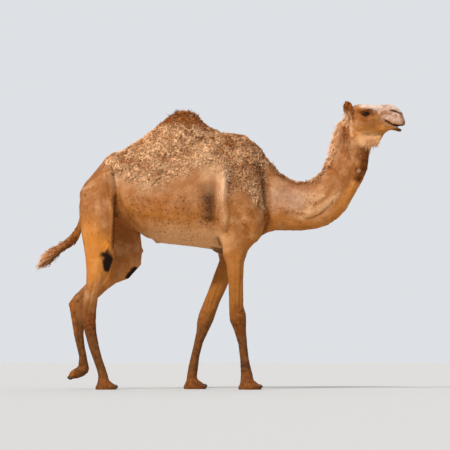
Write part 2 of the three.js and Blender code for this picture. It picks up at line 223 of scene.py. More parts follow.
body = joinCopies(fleshNodes, "skin", skin["overlap"])
even = body.copy()
even.data = body.data.copy()
bpy.context.collection.objects.link(even)
remesh(body, skin["voxel"])
remesh(even, skin["evenVoxel"])
evenPoints = readPoints(even.data)
evenPoints = relax(evenPoints, readEdges(even.data), np.ones(len(evenPoints)), skin["evenRounds"])
writePoints(even.data, evenPoints)
applyModifier(even, "SUBSURF", levels=1)
say(f"skin remeshed: {len(body.data.polygons)} faces")

edges = readEdges(body.data)
points = readPoints(body.data)
limbs = 1 - broadness(points)
limbs *= 1 - 0.75 * smoothStep(0.93, 0.97, points[:, 0])
points = relax(points, edges, limbs, skin["limbRounds"], outward=0)
points = pushOut(body.data, points, limbs * skin["limbFill"])


def weigh(o, weights):
    group = o.vertex_groups.new(name="share")
    levels = np.round(np.clip(weights, 0, 1) * 20).astype(int)
    for level in range(1, 21):
        group.add(np.nonzero(levels == level)[0].tolist(), level / 20, "REPLACE")


weigh(body, broadness(points))
applyModifier(body, "SHRINKWRAP", target=even, vertex_group="share")
body.vertex_groups.clear()
points = relax(readPoints(body.data), edges, broadness(points), 6)
writePoints(body.data, points)
bpy.data.objects.remove(even)
say("skin evened out")


# fewer faces on the broad parts, more where the face has its detail

def thinOut(o, share, weights):
    weigh(o, weights)
    applyModifier(o, "DECIMATE", ratio=share, vertex_group="share", use_collapse_triangulate=False)
    o.vertex_groups.clear()


def refine(o, inside):
    # halves the faces whose middles pass the test
    mesh = o.data
    chosen = inside(readRows(mesh.polygons, "center", 3))
    selectOnly(o)
    bpy.ops.object.mode_set(mode="EDIT")
    bpy.ops.mesh.select_mode(type="FACE")
    bpy.ops.mesh.select_all(action="DESELECT")
    bpy.ops.object.mode_set(mode="OBJECT")
    mesh.polygons.foreach_set("select", chosen)
    bpy.ops.object.mode_set(mode="EDIT")
    bpy.ops.mesh.subdivide(number_cuts=1, smoothness=0)
    bpy.ops.object.mode_set(mode="OBJECT")


eye = {
    "place": (1.0515, 0.066, 2.031),
    "ball": 0.024,
    "lid": 0.0035,
    "wide": 0.0245,
    "high": 0.0135,
    "low": 0.0115,
    "tilt": 0.12,
    "pupil": (0.002, 0.001),  # how far ahead and up from the ball's middle
    "pupilWide": 0.0095,
    "pupilHigh": 0.0052,
    "bulge": 0.0014,
}


def nearEyes(reach):
    return lambda p: np.linalg.norm(np.abs(p) - eye["place"], axis=1) < reach


def eyeAxes(side):
    # ahead along the lids, up across them and out of the ball
    outward = np.array([0.1, side, 0.06])
    outward /= np.linalg.norm(outward)
    ahead = np.array([1, 0, eye["tilt"]])
    ahead = ahead - outward * (ahead @ outward)
    ahead /= np.linalg.norm(ahead)
    return ahead, np.cross(outward, ahead) * -side, outward


# sculpting: strokes on the side view, in millimetres, each with its reach and height

def strokeShares(flat, path, reach, kind="round"):
    path = np.array(path, float) / 1000
    reach = reach / 1000
    distance = np.full(len(flat), 1e9)
    side = np.ones(len(flat))
    along = np.zeros(len(flat))
    pairs = [(path[0], path[0])] if len(path) == 1 else list(zip(path[:-1], path[1:]))
    for i, (start, end) in enumerate(pairs):
        run = end - start
        length = max(run @ run, 1e-12)
        share = np.clip(((flat - start) @ run) / length, 0, 1)
        off = flat - start - share[:, None] * run
        far = np.linalg.norm(off, axis=1)
        nearer = far < distance
        distance[nearer] = far[nearer]
        turned = run[0] * off[:, 1] - run[1] * off[:, 0]
        side[nearer] = np.sign(turned[nearer])
        along[nearer] = (i + share[nearer]) / len(pairs)
    if kind == "slit":
        reach = reach * (1 - 0.7 * np.abs(2 * along - 1) ** 2.2)
    share = np.clip(distance / reach, 0, 1)
    dome = (1 - share * share) ** 2
    if kind == "step":
        return side * share * dome * 3.2
    return dome


def sculpt(points, normals, strokes):
    # right and left are one flank each, both is both, leg is both faces of one leg
    moved = points.copy()
    flanks = {"right": [-1], "left": [1], "both": [-1, 1], "legRight": [-1], "legLeft": [1]}
    for where, path, reach, height, *kind in strokes.values():
        if where in ("top", "under"):
            mask = smoothStep(0.0, 0.5, normals[:, 2] * (1 if where == "top" else -1))
            amount = mask * strokeShares(points[:, :2], path, reach, *kind) * height / 1000
        elif where == "front":
            mask = smoothStep(0.0, 0.5, normals[:, 0]) * (points[:, 0] > 1.2)
            amount = mask * strokeShares(points[:, 1:], path, reach, *kind) * height / 1000
        elif where == "body":
            mirrored = strokeShares(points * [1, -1, 1], path, reach, *kind)
            amount = np.maximum(strokeShares(points, path, reach, *kind), mirrored) * height / 1000
        else:
            mask = 0
            for side in flanks[where]:
                out = normals[:, 1] * side
                out = smoothStep(0.0, 0.4, np.abs(out) if where.startswith("leg") else out)
                mask = mask + out * (points[:, 1] * side > 0.004)
            amount = mask * (strokeShares(points[:, [0, 2]], path, reach, *kind) * height / 1000)
        moved += normals * amount[:, None]
    return moved


trunkStrokes = {
    "shoulder rear edge": ("both", [(30, 1640), (6, 1502), (-4, 1376), (8, 1280), (10, 1190)], 40, 24),
    "hollow behind it": ("both", [(-46, 1580), (-58, 1400), (-50, 1230)], 44, -20),
    "shoulder muscles": ("both", [(150, 1560), (130, 1330)], 150, 12),
    "shoulder blade": ("both", [(176, 1769), (124, 1436)], 40, 5),
    "shoulder front groove": ("both", [(292, 1709), (302, 1517), (316, 1399), (326, 1236), (292, 1132)], 34, -22),
    "breast fold": ("both", [(160, 1212), (190, 1150), (187, 1092)], 17, -9),
    "arm fold": ("both", [(110, 1150), (135, 1165), (158, 1150)], 14, -5),
    "elbow": ("both", [(0, 1115), (10, 1075)], 36, 12),
    "elbow gash": ("both", [(-42, 1106), (-24, 1056)], 12, -9),
    "neck base fold 1": ("both", [(346, 1480), (352, 1285)], 11, -5),
    "neck base fold 2": ("both", [(372, 1455), (380, 1283)], 10, -4),
    "neck base fold 3": ("both", [(401, 1425), (406, 1312)], 9, -3),
    "thigh front": ("right", [(-806, 1610), (-797, 1458), (-790, 1354), (-792, 1236), (-798, 1132), (-806, 1020)],
                    60, -18, "step"),
    "thigh crease": ("right", [(-812, 1580), (-795, 1458), (-788, 1354), (-790, 1236), (-796, 1132), (-804, 1040)],
                     17, -26),
    "thigh edge": ("right", [(-838, 1560), (-826, 1458), (-822, 1354), (-824, 1236), (-832, 1100)], 34, 13),
    "thigh front left": ("left", [(-772, 1590), (-709, 1502), (-655, 1339), (-612, 1162), (-604, 1060)],
                         60, -16, "step"),
    "thigh crease left": ("left", [(-768, 1570), (-705, 1502), (-650, 1339), (-608, 1162)], 18, -20),
    "thigh edge left": ("left", [(-740, 1500), (-684, 1339), (-642, 1180)], 34, 11),
    "stifle fold": ("right", [(-772, 1354), (-705, 1236), (-631, 1132)], 40, -14, "step"),
    "hip bone": ("both", [(-822, 1668)], 60, 9),
    "croup": ("both", [(-870, 1640), (-1000, 1500)], 40, -5),
    "pin bone": ("both", [(-1035, 1455)], 45, 7),
    "flank hollow": ("both", [(-700, 1560), (-690, 1480)], 90, -12),
    "thigh groove front": ("right", [(-868, 1440), (-862, 1270), (-872, 1100)], 26, -5),
    "thigh groove rear": ("right", [(-950, 1400), (-962, 1180), (-966, 960)], 28, -6),
    "thigh groove front left": ("left", [(-800, 1450), (-760, 1270), (-720, 1080)], 26, -5),
    "thigh groove rear left": ("left", [(-930, 1400), (-900, 1180), (-850, 1010)], 28, -6),
    "thigh muscle": ("both", [(-905, 1330), (-905, 1180)], 90, 8),
    "loin edge": ("both", [(-640, 1640), (-780, 1640)], 40, 5),
    "belly crease": ("both", [(-60, 1215), (-90, 1130), (-70, 1060)], 20, -5),
    "girth vein": ("both", [(-140, 1180), (-118, 1090)], 10, 3),
    "neck groove": ("both", [(457, 1300), (642, 1262), (812, 1340), (915, 1470), (975, 1635), (1015, 1769)], 34, -10),
    "windpipe": ("both", [(470, 1205), (690, 1205), (860, 1290), (960, 1440), (1020, 1600)], 30, 3),
    "neck fold 1": ("both", [(598, 1272), (701, 1320), (760, 1371), (805, 1412)], 17, 10),
    "neck fold 1 under": ("both", [(608, 1244), (710, 1290), (775, 1345), (815, 1390)], 15, -8),
    "neck fold 2": ("both", [(665, 1380), (740, 1428)], 17, 9),
    "neck fold 2 under": ("both", [(672, 1352), (752, 1402)], 13, -6),
    "neck fold 3": ("both", [(560, 1340), (640, 1365)], 16, 6),
    "nape groove": ("both", [(568, 1478), (700, 1505), (800, 1613), (835, 1769)], 30, -6),
    "navel": ("under", [(-486, 0)], 34, 14),
}
for rib in range(7):
    place = -560 + rib * 62
    path = [(place, 1560), (place - 22, 1420), (place - 10, 1280), (place + 30, 1180)]
    trunkStrokes[f"rib {rib}"] = ("both", path, 20, 1.8)

# where each leg's joints are, in side view, and what is drawn along it: along counts the
# joints from the top, across is towards the front
legLines = {
    "fore legRight": [(118, 1060), (108, 500), (158, 170), (205, 60)],
    "fore legLeft": [(40, 1060), (-134, 500), (-226, 165), (-205, 60)],
    "hind legRight": [(-905, 960), (-985, 490), (-882, 104), (-850, 50)],
    "hind legLeft": [(-780, 930), (-1082, 612), (-1040, 180), (-1100, 120)],
}
legStrokes = {
    "fore": {
        "muscles": ([(0.1, 8), (0.4, 4)], 52, 6),
        "front groove": ([(0.22, 20), (0.82, 14)], 11, -4),
        "rear groove": ([(0.12, -26), (0.84, -16)], 11, -4.5),
        "knee": ([(0.95, 12), (1.06, 12)], 36, 4),
        "knee top fold": ([(0.9, -34), (0.91, 46)], 8, -2.5),
        "knee fold": ([(1.0, -4), (1.02, 50)], 6, -2.5),
        "knee low fold": ([(1.1, -36), (1.11, 40)], 8, -3),
        "knee rear bone": ([(0.97, -46)], 20, 7),
        "tendon groove": ([(1.2, -10), (1.88, -12)], 9, -5),
        "fetlock": ([(1.98, -22)], 26, 5),
        "fetlock fold": ([(2.25, -40), (2.3, 40)], 8, -2.5),
    },
    "hind": {
        "muscles": ([(0.1, -10), (0.4, -8)], 56, 6),
        "shin edge": ([(0.2, 30), (0.85, 26)], 12, 3),
        "string groove": ([(0.4, -14), (0.93, -22)], 14, -8),
        "hock point": ([(0.97, -46)], 24, 6),
        "hock": ([(1.0, 10)], 34, 3),
        "hock fold": ([(1.07, -36), (1.06, 40)], 8, -2.5),
        "tendon groove": ([(1.2, -8), (1.88, -10)], 9, -5),
        "fetlock": ([(1.98, -20)], 24, 4),
    },
}


def onLeg(line, along, across):
    i = min(int(along), len(line) - 2)
    start, end = np.array(line[i], float), np.array(line[i + 1], float)
    run = end - start
    forward = np.array([-run[1], run[0]]) / np.linalg.norm(run)
    return tuple(start + run * (along - i) + forward * across)


limbStrokes = {}
for leg, line in legLines.items():
    pair, where = leg.split()
    for name, (path, reach, height) in legStrokes[pair].items():
        limbStrokes[f"{leg} {name}"] = (where, [onLeg(line, *at) for at in path], reach, height)

headStrokes = {
    "brow": ("both", [(1005, 2060), (1050, 2074), (1096, 2066)], 24, 14),
    "temple": ("both", [(985, 2042)], 30, -6),
    "cheekbone": ("both", [(955, 2012), (1005, 1992), (1055, 1986), (1105, 1998)], 15, 5),
    "under the eye": ("both", [(1018, 1998), (1045, 1992), (1078, 1999)], 6, -3),
    "face crest": ("both", [(1105, 1996), (1168, 2008)], 15, 4),
    "hollow before the eye": ("both", [(1112, 2036), (1150, 2044)], 26, -7),
    "jaw muscle": ("both", [(1000, 1945), (1030, 1925)], 62, 8),
    "jaw rear edge": ("both", [(932, 2035), (936, 1954), (945, 1872)], 34, 8, "step"),
    "jaw lower edge": ("both", [(985, 1885), (1080, 1893), (1180, 1912), (1250, 1925)], 16, 4),
    "cheek hollow": ("both", [(1130, 1958), (1165, 1950)], 30, -7),
    "nose fold": ("both", [(1271, 2092), (1240, 2062), (1216, 2036)], 9, 3.5),
    "rear nose fold": ("both", [(1156, 2104), (1140, 2072), (1123, 2040)], 11, 3),
    "nostril rim above": ("both", [(1236, 2073), (1280, 2064), (1322, 2045)], 11, 5),
    "nostril rim below": ("both", [(1246, 2047), (1282, 2037), (1318, 2020)], 12, 5),
    "nostril": ("both", [(1240, 2058), (1262, 2058), (1284, 2051), (1304, 2040), (1324, 2030)], 8, -15, "slit"),
    "upper lip": ("both", [(1222, 1996), (1262, 1982), (1312, 1982)], 24, 7),
    "lip edge": ("both", [(1205, 1992), (1256, 1966), (1330, 1962)], 9, 4),
    "mouth line": ("both", [(1186, 1996), (1206, 1986), (1226, 1974), (1244, 1964), (1270, 1950)], 6, -8, "slit"),
    "mouth corner fold": ("both", [(1192, 2004), (1180, 1990), (1178, 1972)], 8, -4),
    "second corner fold": ("both", [(1170, 2006), (1158, 1988), (1160, 1966)], 8, -2.5),
    "corner roll": ("both", [(1184, 2006), (1170, 1988), (1170, 1968)], 8, 3),
    "upper lip underside": ("body", [(1258, 26, 1958), (1300, 18, 1958), (1326, 0, 1958)], 17, 6),
    "lower lip": ("body", [(1268, 26, 1924), (1296, 18, 1914), (1312, 0, 1912)], 22, 6),
    "under the lip": ("both", [(1250, 1914), (1288, 1900)], 10, -3),
    "lip cleft": ("front", [(0, 2052), (0, 1950)], 8, -8),
    "nose ridge": ("top", [(1110, 0), (1250, 0)], 26, 2),
    "brow hollow": ("top", [(1040, 0), (1120, 0)], 40, -4),
}

feet = {"fore right": (270, 152, 24), "fore left": (-136, 152, 24), "hind right": (-790, 148, 22)}
for foot, (front, side, low) in feet.items():
    cleft = [(front - 66, side, low + 62), (front - 24, side, low + 26), (front + 14, side, low - 24)]
    headStrokes[f"{foot} cleft"] = ("body", cleft, 15, -13)
    for toe in (side - 33, side + 33):
        bed = [(front - 24, toe - 12, low + 17), (front - 20, toe + 12, low + 17)]
        headStrokes[f"{foot} toe {toe}"] = ("body", [(front - 60, toe, low + 24), (front - 8, toe, low + 2)], 36, 6)
        headStrokes[f"{foot} nail bed {toe}"] = ("body", bed, 9, -3)
    pad = [(front - 100, side - 44, low - 14), (front - 150, side, low - 14), (front - 100, side + 44, low - 14)]
    headStrokes[f"{foot} pad"] = ("body", pad, 26, 4)
headStrokes["hind left cleft"] = ("body", [(-1090, 148, 138), (-1122, 148, 100), (-1152, 148, 72)], 14, -11)


def shapeEyes(points):
    # lids that wrap the ball, with an almond opening where the skin drops behind it
    moved = points.copy()
    x, y, z = eye["place"]
    for side in (-1, 1):
        ahead, up, outward = eyeAxes(side)
        away = moved - [x, side * y, z]
        u, v, w = away @ ahead, away @ up, away @ outward
        distance = np.linalg.norm(away, axis=1)
        close = (distance < 0.06) & (w > 0)
        bend = 1 - (u / eye["wide"]) ** 2
        inside = np.minimum(eye["high"] * bend - v, v + eye["low"] * bend)
        lid = smoothStep(0.034, 0.02, np.hypot(u / 1.25, v))
        target = distance + (eye["ball"] + eye["lid"] - distance) * lid
        crease = np.abs(v - (0.0195 - 22 * u * u)) < 0.0028
        target = target - 0.0018 * crease * lid
        drop = smoothStep(-0.0006, 0.0012, inside)
        target = target + (eye["ball"] - 0.005 - target) * drop
        scale = np.where(close, target / np.maximum(distance, 1e-6), 1)
        moved = moved + away * (scale - 1)[:, None]
    return moved


points = sculpt(readPoints(body.data), readNormals(body.data), trunkStrokes)
writePoints(body.data, points)
points = sculpt(points, readNormals(body.data), limbStrokes)
uneven = lattice(points, 0.11, 3) * 0.0022 + lattice(points, 0.045, 4) * 0.0009
uneven *= smoothStep(0.1, 0.5, points[:, 2]) * smoothStep(1.0, 0.9, points[:, 0])
points = pushOut(body.data, points, uneven)
say("trunk and limbs sculpted")

x, y, z = points.T
aside = (1 - smoothStep(0.9, 0.96, x)) * (1 - 0.8 * smoothStep(0.16, 0.1, z))  # less where the head and feet are
thinOut(body, skin["keepFaces"], (0.25 + 0.75 * smoothStep(0.9, 1.1, z)) * aside)
say(f"thinned: {len(body.data.polygons)} faces")
refine(body, lambda p: (p[:, 0] > 1.19) & (p[:, 2] > 1.86))
refine(body, nearEyes(0.062))
refine(body, nearEyes(0.042))
say(f"refined: {len(body.data.polygons)} faces")
points = sculpt(readPoints(body.data), readNormals(body.data), headStrokes)
points = shapeEyes(points)
writePoints(body.data, points)
say("head sculpted")


# markings: shares from 0 to 1 by place, which skin and coat both carry

def near(points, path, reach, soft, ragged=0.0, seed=1):
    # 1 within reach of a line on the side view, fading over soft, with a ragged edge
    distance = farFromPath(points[:, [0, 2]], path)
    if ragged:
        distance = distance + lattice(points, 0.03, seed) * ragged
    return smoothStep(reach + soft, reach, distance)


woolEdge = [
    (-1.12, 1.8), (-0.95, 1.73), (-0.88, 1.68), (-0.83, 1.64), (-0.79, 1.6), (-0.705, 1.56), (-0.616, 1.5),
    (-0.468, 1.487), (-0.283, 1.56), (-0.172, 1.63), (-0.02, 1.635), (0.006, 1.55), (0.04, 1.43), (0.1, 1.46),
    (0.179, 1.45), (0.22, 1.37), (0.3, 1.31), (0.33, 1.6), (0.36, 1.75),
]
napeLine = [
    (0.3, 1.78), (0.43, 1.62), (0.545, 1.555), (0.66, 1.57), (0.70, 1.60), (0.73, 1.65), (0.77, 1.72),
    (0.79, 1.80), (0.81, 1.89), (0.85, 1.98), (0.90, 2.04),
]
mouthLine = [(1.20, 1.984), (1.25, 1.955), (1.30, 1.944), (1.35, 1.93)]
smudgeLine = [(-0.113, 1.37), (-0.105, 1.29)]

# how strongly each mark shows in each colour, the part of the body it is kept to, and its line
# on the side view with reach, softness, raggedness and the seed of that
paints = {
    "nape": ({}, "neck", napeLine, 0.035, 0.03, 0.012, 13),
    "nape rim": ({}, "fore neck", napeLine, 0.014, 0.03, 0.01, 30),
    "nape band": ({"brown": 1}, "all", [(0.8, 1.66), (0.845, 1.8), (0.875, 1.92)], 0.036, 0.03, 0.012, 16),
    "shoulder": ({}, "all", [(0.15, 1.84), (0.14, 1.62), (0.16, 1.52)], 0.11, 0.07, 0.03, 15),
    "flank": ({"brown": 0.3}, "all", [(-0.55, 1.38), (-0.1, 1.42)], 0.08, 0.12),
    # painted shade in the groove in front of the shoulder
    "shoulder front": ({"brown": 0.6}, "all", [(0.29, 1.7), (0.3, 1.45), (0.325, 1.24)], 0.012, 0.03, 0.012, 17),
    "wool hollow": ({"brown": 0.6}, "all", [(-0.453, 1.545)], 0.03, 0.04, 0.02, 18),
    # painted shade in the hollow behind the shoulder
    "behind the shoulder": ({"brown": 0.35}, "all",
        [(-0.052, 1.56), (-0.06, 1.4), (-0.045, 1.22), (-0.046, 1.12)], 0.006, 0.04, 0.01, 41),
    # painted shade in the creases in front of the thighs and the shoulder, carried by the crease mark
    "thigh crease right": ({"crease": 1}, "right",
        [(-0.812, 1.6), (-0.797, 1.458), (-0.792, 1.354), (-0.793, 1.236), (-0.8, 1.05)], 0.003, 0.012, 0.003, 42),
    "thigh crease left": ({"crease": 1}, "left",
        [(-0.705, 1.5), (-0.65, 1.339), (-0.608, 1.162)], 0.003, 0.012, 0.003, 43),
    "shoulder crease": ({"crease": 0.7}, "all",
        [(0.294, 1.62), (0.3, 1.5), (0.316, 1.39), (0.326, 1.23), (0.296, 1.14)], 0.003, 0.016, 0.005, 47),
    "below the ear": ({"brown on wool": 0.6}, "all", [(0.99, 2.045), (0.965, 2.0)], 0.012, 0.03, 0.01, 20),
    # painted highlight: the lit rear edge of the shoulder blade, as a cream and pale band
    "shoulder ridge highlight": ({"cream": 0.22}, "all", [(0.03, 1.6), (0.002, 1.52), (-0.008, 1.42)], 0.002, 0.056, 0.02, 21),
    "low shoulder ridge highlight": ({"pale": 0.4}, "all", [(-0.008, 1.42), (0.0, 1.3), (0.01, 1.22)], 0.002, 0.035, 0.012, 54),
    "hip": ({"pale": 0.4}, "all", [(-0.757, 1.561)], 0.03, 0.06, 0.02, 22),
    "behind the withers": ({"pale": 0.6}, "all", [(-0.16, 1.72), (-0.06, 1.6)], 0.03, 0.1, 0.03, 23),
    "hump side": ({"pale": 0.25}, "all", [(-0.6, 1.66), (-0.3, 1.78)], 0.05, 0.12, 0.03, 24),
    # painted highlights on the raised folds of the neck
    "neck fold": ({"pale": 0.6}, "all",
        [(0.6, 1.272), (0.7, 1.32), (0.76, 1.371), (0.805, 1.412)], 0.006, 0.02, 0.01, 25),
    "second neck fold": ({"pale": 0.5}, "all", [(0.665, 1.38), (0.74, 1.428)], 0.006, 0.02, 0.01, 26),
    "throat fleck": ({"pale": 0.9}, "all", [(1.001, 1.613)], 0.01, 0.012, 0.006, 27),
    "cheek edge": ({"pale": 0.45}, "all", [(0.944, 2.01), (0.944, 1.93), (0.95, 1.87)], 0.002, 0.009, 0.003, 20),
    "thigh fleck": ({"pale": 0.5}, "right", [(-0.76, 1.233)], 0.012, 0.02, 0.008, 28),
    "shoulder point": ({"pale": 0.6}, "all", [(0.175, 1.49), (0.255, 1.44)], 0.015, 0.03, 0.012, 29),
    "neck base": ({}, "all", [(0.42, 1.42), (0.62, 1.38), (0.72, 1.36)], 0.05, 0.08),
    "rib fleck": ({"pale": 0.12}, "all", [(-0.25, 1.45), (-0.1, 1.5)], 0.08, 0.12, 0.03, 36),
    # warm marks: the coat's own orange, partly painted warm bounce light on the cheeks, throat, neck and lower thighs
    "thigh": ({"warm": 0.8}, "all", [(-0.98, 1.1), (-0.93, 0.97), (-0.93, 0.88)], 0.05, 0.13),
    "cheek": ({"warm": 0.6}, "all", [(0.99, 1.88), (1.08, 1.89), (1.18, 1.92)], 0.01, 0.05, 0.01, 44),
    "throat": ({"warm": 1, "pale late": 0.6}, "all", [(1.05, 1.84), (1.12, 1.84)], 0.03, 0.05),
    "neck under": ({"warm": 0.75}, "all", [(0.95, 1.4), (1.02, 1.52), (0.85, 1.28)], 0.03, 0.06),
    "thigh fluff": ({"warm": 1}, "right", [(-0.86, 1.06), (-0.83, 1.05)], 0.025, 0.035, 0.015, 48),
    "callus right": ({"dark": 1}, "right thigh",
        [(-0.852, 0.985), (-0.838, 0.93), (-0.845, 0.9)], 0.024, 0.026, 0.018, 31),
    "callus left": ({"dark": 1}, "left thigh", [(-0.7, 0.83), (-0.655, 0.885)], 0.02, 0.014, 0.006, 32),
    "breast pad": ({"dark": 0.7}, "breast pad", [(0.0, 1.03)], 0.07, 0.03),
    "smudge": ({"brown late": 0.65}, "all", smudgeLine, 0.03, 0.06, 0.03, 33),
    # painted shade inside the nostril slit
    "nostril": ({"dark": 1}, "all", [(1.243, 2.06), (1.278, 2.051), (1.32, 2.032)], 0.0015, 0.0045),
    "elbow gash": ({"dark": 0.7}, "all", [(-0.042, 1.106), (-0.024, 1.056)], 0.004, 0.012),
    # painted shade under the tail: darker on the skin facing down
    "under the tail": ({"dark": 0.5}, "underside",
        [(-1.08, 1.17), (-1.14, 1.06), (-1.21, 1.0), (-1.33, 0.92)], 0.006, 0.02),
    "throat patch": ({"brown late": 0.95, "dark": 0.5}, "all",
        [(1.045, 1.75), (1.035, 1.64), (0.99, 1.56)], 0.024, 0.03, 0.016, 35),
    "pastern band": ({"dark": 0.5}, "right", [(0.13, 0.19), (0.19, 0.175)], 0.012, 0.02),
    # painted shadow under the brow, brown and dark over the upper lid
    "brow": ({"brown late": 0.9, "dark": 0.5}, "head",
        [(1.02, 2.04), (1.06, 2.048), (1.09, 2.056)], 0.006, 0.013, 0.005, 53),
    "around the eye": ({"brown late": 0.55}, "head", [(1.0, 2.03), (1.04, 2.0), (1.09, 2.02)], 0.012, 0.03, 0.01, 49),
    "lips": ({"dark": 0.8}, "lips", mouthLine, 0.003, 0.008, 0.002, 38),
    "inner lips": ({}, "all", mouthLine, 0.014, 0.008),
    "muzzle shade": ({"leg": 0.12}, "all", [(1.12, 2.035), (1.18, 2.05), (1.215, 2.075)], 0.02, 0.035, 0.014, 39),
    "around the nostril": ({"leg": 0.5}, "all",
        [(1.235, 2.055), (1.28, 2.05), (1.325, 2.03)], 0.006, 0.018, 0.006, 52),
    "knee dirt": ({"brown late": 0.5, "dark": 0.28}, "shins", [(0.11, 0.55), (0.115, 0.46)], 0.03, 0.05, 0.02, 45),
    "hock dirt": ({"brown late": 0.5, "dark": 0.28}, "shins", [(-0.98, 0.53), (-0.97, 0.46)], 0.02, 0.05, 0.02, 46),
    "flank specks": ({"speckle": 1}, "all", [(-0.55, 1.3), (-0.3, 1.22), (-0.1, 1.32)], 0.1, 0.14),
    "smudge specks": ({"speckle": 1.3}, "all", smudgeLine, 0.05, 0.08, 0.03, 33),
    "neck specks": ({"speckle": 1}, "all", [(0.38, 1.42), (0.6, 1.38)], 0.08, 0.08),
    "arm specks": ({"speckle": 0.8}, "all", [(0.1, 1.28), (0.24, 1.3)], 0.07, 0.08),
    "neck base cream": ({"cream": 0.24}, "all", [(0.42, 1.42), (0.54, 1.39)], 0.03, 0.1),
    "upper lip": ({"cream": 0.5}, "all", [(1.2, 2.012), (1.26, 1.995), (1.31, 1.985)], 0.01, 0.03, 0.01, 40),
    "nose edge": ({"cream": 0.8}, "all", [(1.262, 2.088), (1.24, 2.06), (1.222, 2.04)], 0.002, 0.006, 0.002, 50),
}


def strongest(*shares):
    most = shares[0]
    for share in shares[1:]:
        most = np.maximum(most, share)
    return most


def lumpsOf(points):
    # where the wool stands in lumps, -1 in the gaps to 1 on the lumps
    lumps = lattice(points, 0.042, 61) + 0.8 * lattice(points, 0.021, 62)
    return np.clip(1.4 * lumps, -1, 1)


def marksOf(points, normals):
    x, y, z = points.T
    lumps = lumpsOf(points)
    patchy = lattice(points, 0.05, 14)
    small = lattice(points, 0.018, 19)
    rough = lattice(points, 0.06, 11) * 0.02 + lattice(points, 0.025, 12) * 0.014
    parts = {
        "all": True, "right": y < 0, "left": y >= 0, "neck": x > 0.28, "fore neck": x > 0.36, "head": x > 0.9,
        "lips": x < 1.33, "shins": z < 0.7, "right thigh": smoothStep(-0.06, -0.12, y), "left thigh": y > 0.08,
        "underside": smoothStep(0.2, -0.4, normals[:, 2]),
        "breast pad": smoothStep(1.06, 1.045, z) * (np.abs(y) < 0.1),
    }
    at, colour = {}, {}
    for name, (strengths, part, *line) in paints.items():
        at[name] = near(points, *line) * parts[part]
        for mark, strength in strengths.items():
            colour[mark] = np.maximum(colour.get(mark, 0), strength * at[name])

    edge = np.array(woolEdge)
    above = z - np.interp(x, edge[:, 0], edge[:, 1])
    behind = smoothStep(-0.6, -0.8, x)
    wool = smoothStep(-0.03 - 0.06 * behind, 0.03 + 0.05 * behind, above + rough * (1 + behind)) * (x < 0.36)
    wool = np.maximum(wool, at["nape"])
    wool = wool * smoothStep(2.04, 2.01, z - 4 * np.maximum(0.87 - x, 0))

    crown = smoothStep(1.9, 1.99, z + patchy * 0.03) * (x < 0)
    rear = smoothStep(-0.3, -0.5, x) * smoothStep(1.75, 1.86, z + rough * 2)
    rearLow = smoothStep(-0.4, -0.5, x) * smoothStep(0.1, 0.03, above + rough)
    shoulder = at["shoulder"] * wool
    ear = smoothStep(0.985, 0.965, x) * smoothStep(2.0, 2.05, z) * (x > 0.8)
    tail = np.maximum(smoothStep(-1.09, -1.11, x), (np.abs(y) < 0.035) * smoothStep(-1.07, -1.085, x))
    chin = smoothStep(1.24, 1.28, x) * smoothStep(1.94, 1.925, z)
    brown = strongest(
        # painted shade: the crease mark adds brown in the creases
        colour["brown"], 0.95 * crown, (0.6 + 0.3 * small) * rear, ear, 0.9 * colour["crease"],
        0.55 * rearLow * wool * smoothStep(-0.1, 0.5, small + 0.2), (0.62 + 0.25 * small) * shoulder,
        (0.5 + 0.3 * small) * tail * smoothStep(-1.34, -1.22, x), (0.06 + 0.2 * patchy + 0.15 * small) * wool,
    )
    # painted shade: brown in the gaps between the wool's lumps
    brown = brown + 0.8 * np.maximum(-lumps - 0.1, 0) * wool
    brown = strongest(brown, 0.85 * chin, colour["brown on wool"])

    # pale wool on the back-facing upper neck: its own pale tips with a painted rim highlight
    napeBackHighlight = smoothStep(-0.1, -0.7, normals[:, 0]) * smoothStep(1.6, 1.7, z) * (x > 0.7) * (x < 0.94) * (z < 2.05)
    earFront = ear * smoothStep(0.952, 0.962, x) * smoothStep(2.12, 2.10, z)
    pale = strongest(
        colour["pale"], (0.85 + 0.25 * patchy) * at["shoulder ridge highlight"], (0.6 + 0.3 * small) * napeBackHighlight, 0.25 * earFront,
        (0.5 + 0.3 * small) * at["nape rim"] * (1 - 0.75 * smoothStep(1.6, 1.7, z)),
        0.45 * smoothStep(0.1, 0.6, small + patchy) * at["neck base"],
        # pale wool, paler on the tops of the lumps as a painted highlight
        (0.42 + 0.55 * lumps) * wool * (1 - np.maximum(0.9 * crown, 0.3 * shoulder)) * (x < 0.36),
        0.6 * wool * smoothStep(0.14, 0.0, above + rough) * smoothStep(0.02, -0.05, x) * (1 - behind),
    )
    brown = brown * (1 - 0.5 * pale)
    brown = strongest(brown, colour["brown late"], 0.25 * smoothStep(0.14, 0.03, z + 0.03 * patchy))

    # painted bounce light: the belly paler and orange, and all that faces down orange, over the coat's own orange
    belly = smoothStep(1.24, 1.12, z) * smoothStep(-0.66, -0.5, x) * smoothStep(0.1, -0.05, x) * smoothStep(0.98, 1.04, z)
    pale = strongest(pale, colour["pale late"], 0.5 * belly, 0.4 * smoothStep(-1.22, -1.32, x))
    warm = strongest(
        colour["warm"], belly, 0.55 * rear, 0.6 * smoothStep(0.15, -0.6, normals[:, 2]) * (z > 0.5),
        0.45 * smoothStep(1.2, 0.9, z) * (x > -0.2) * (x < 0.4),
    ) * smoothStep(0.3, 0.8, z)

    # darkness round the eye: its dark lids, widened by painted shade from the brow and the lashes
    ex, ez = eye["place"][::2]
    along = x - ex - 0.001
    rise = z - ez - eye["tilt"] * along
    fromEye = np.hypot(along / 0.037, rise / 0.0205) + 9 * (np.abs(np.abs(y) - 0.09) > 0.05)
    spots = smoothStep(0.0, 0.4, lattice(points, 0.012, 34) + lattice(points, 0.03, 37) * 0.5 + at["smudge"] - 0.5)
    lipTip = smoothStep(1.318, 1.34, x) * smoothStep(2.0, 1.97, z)
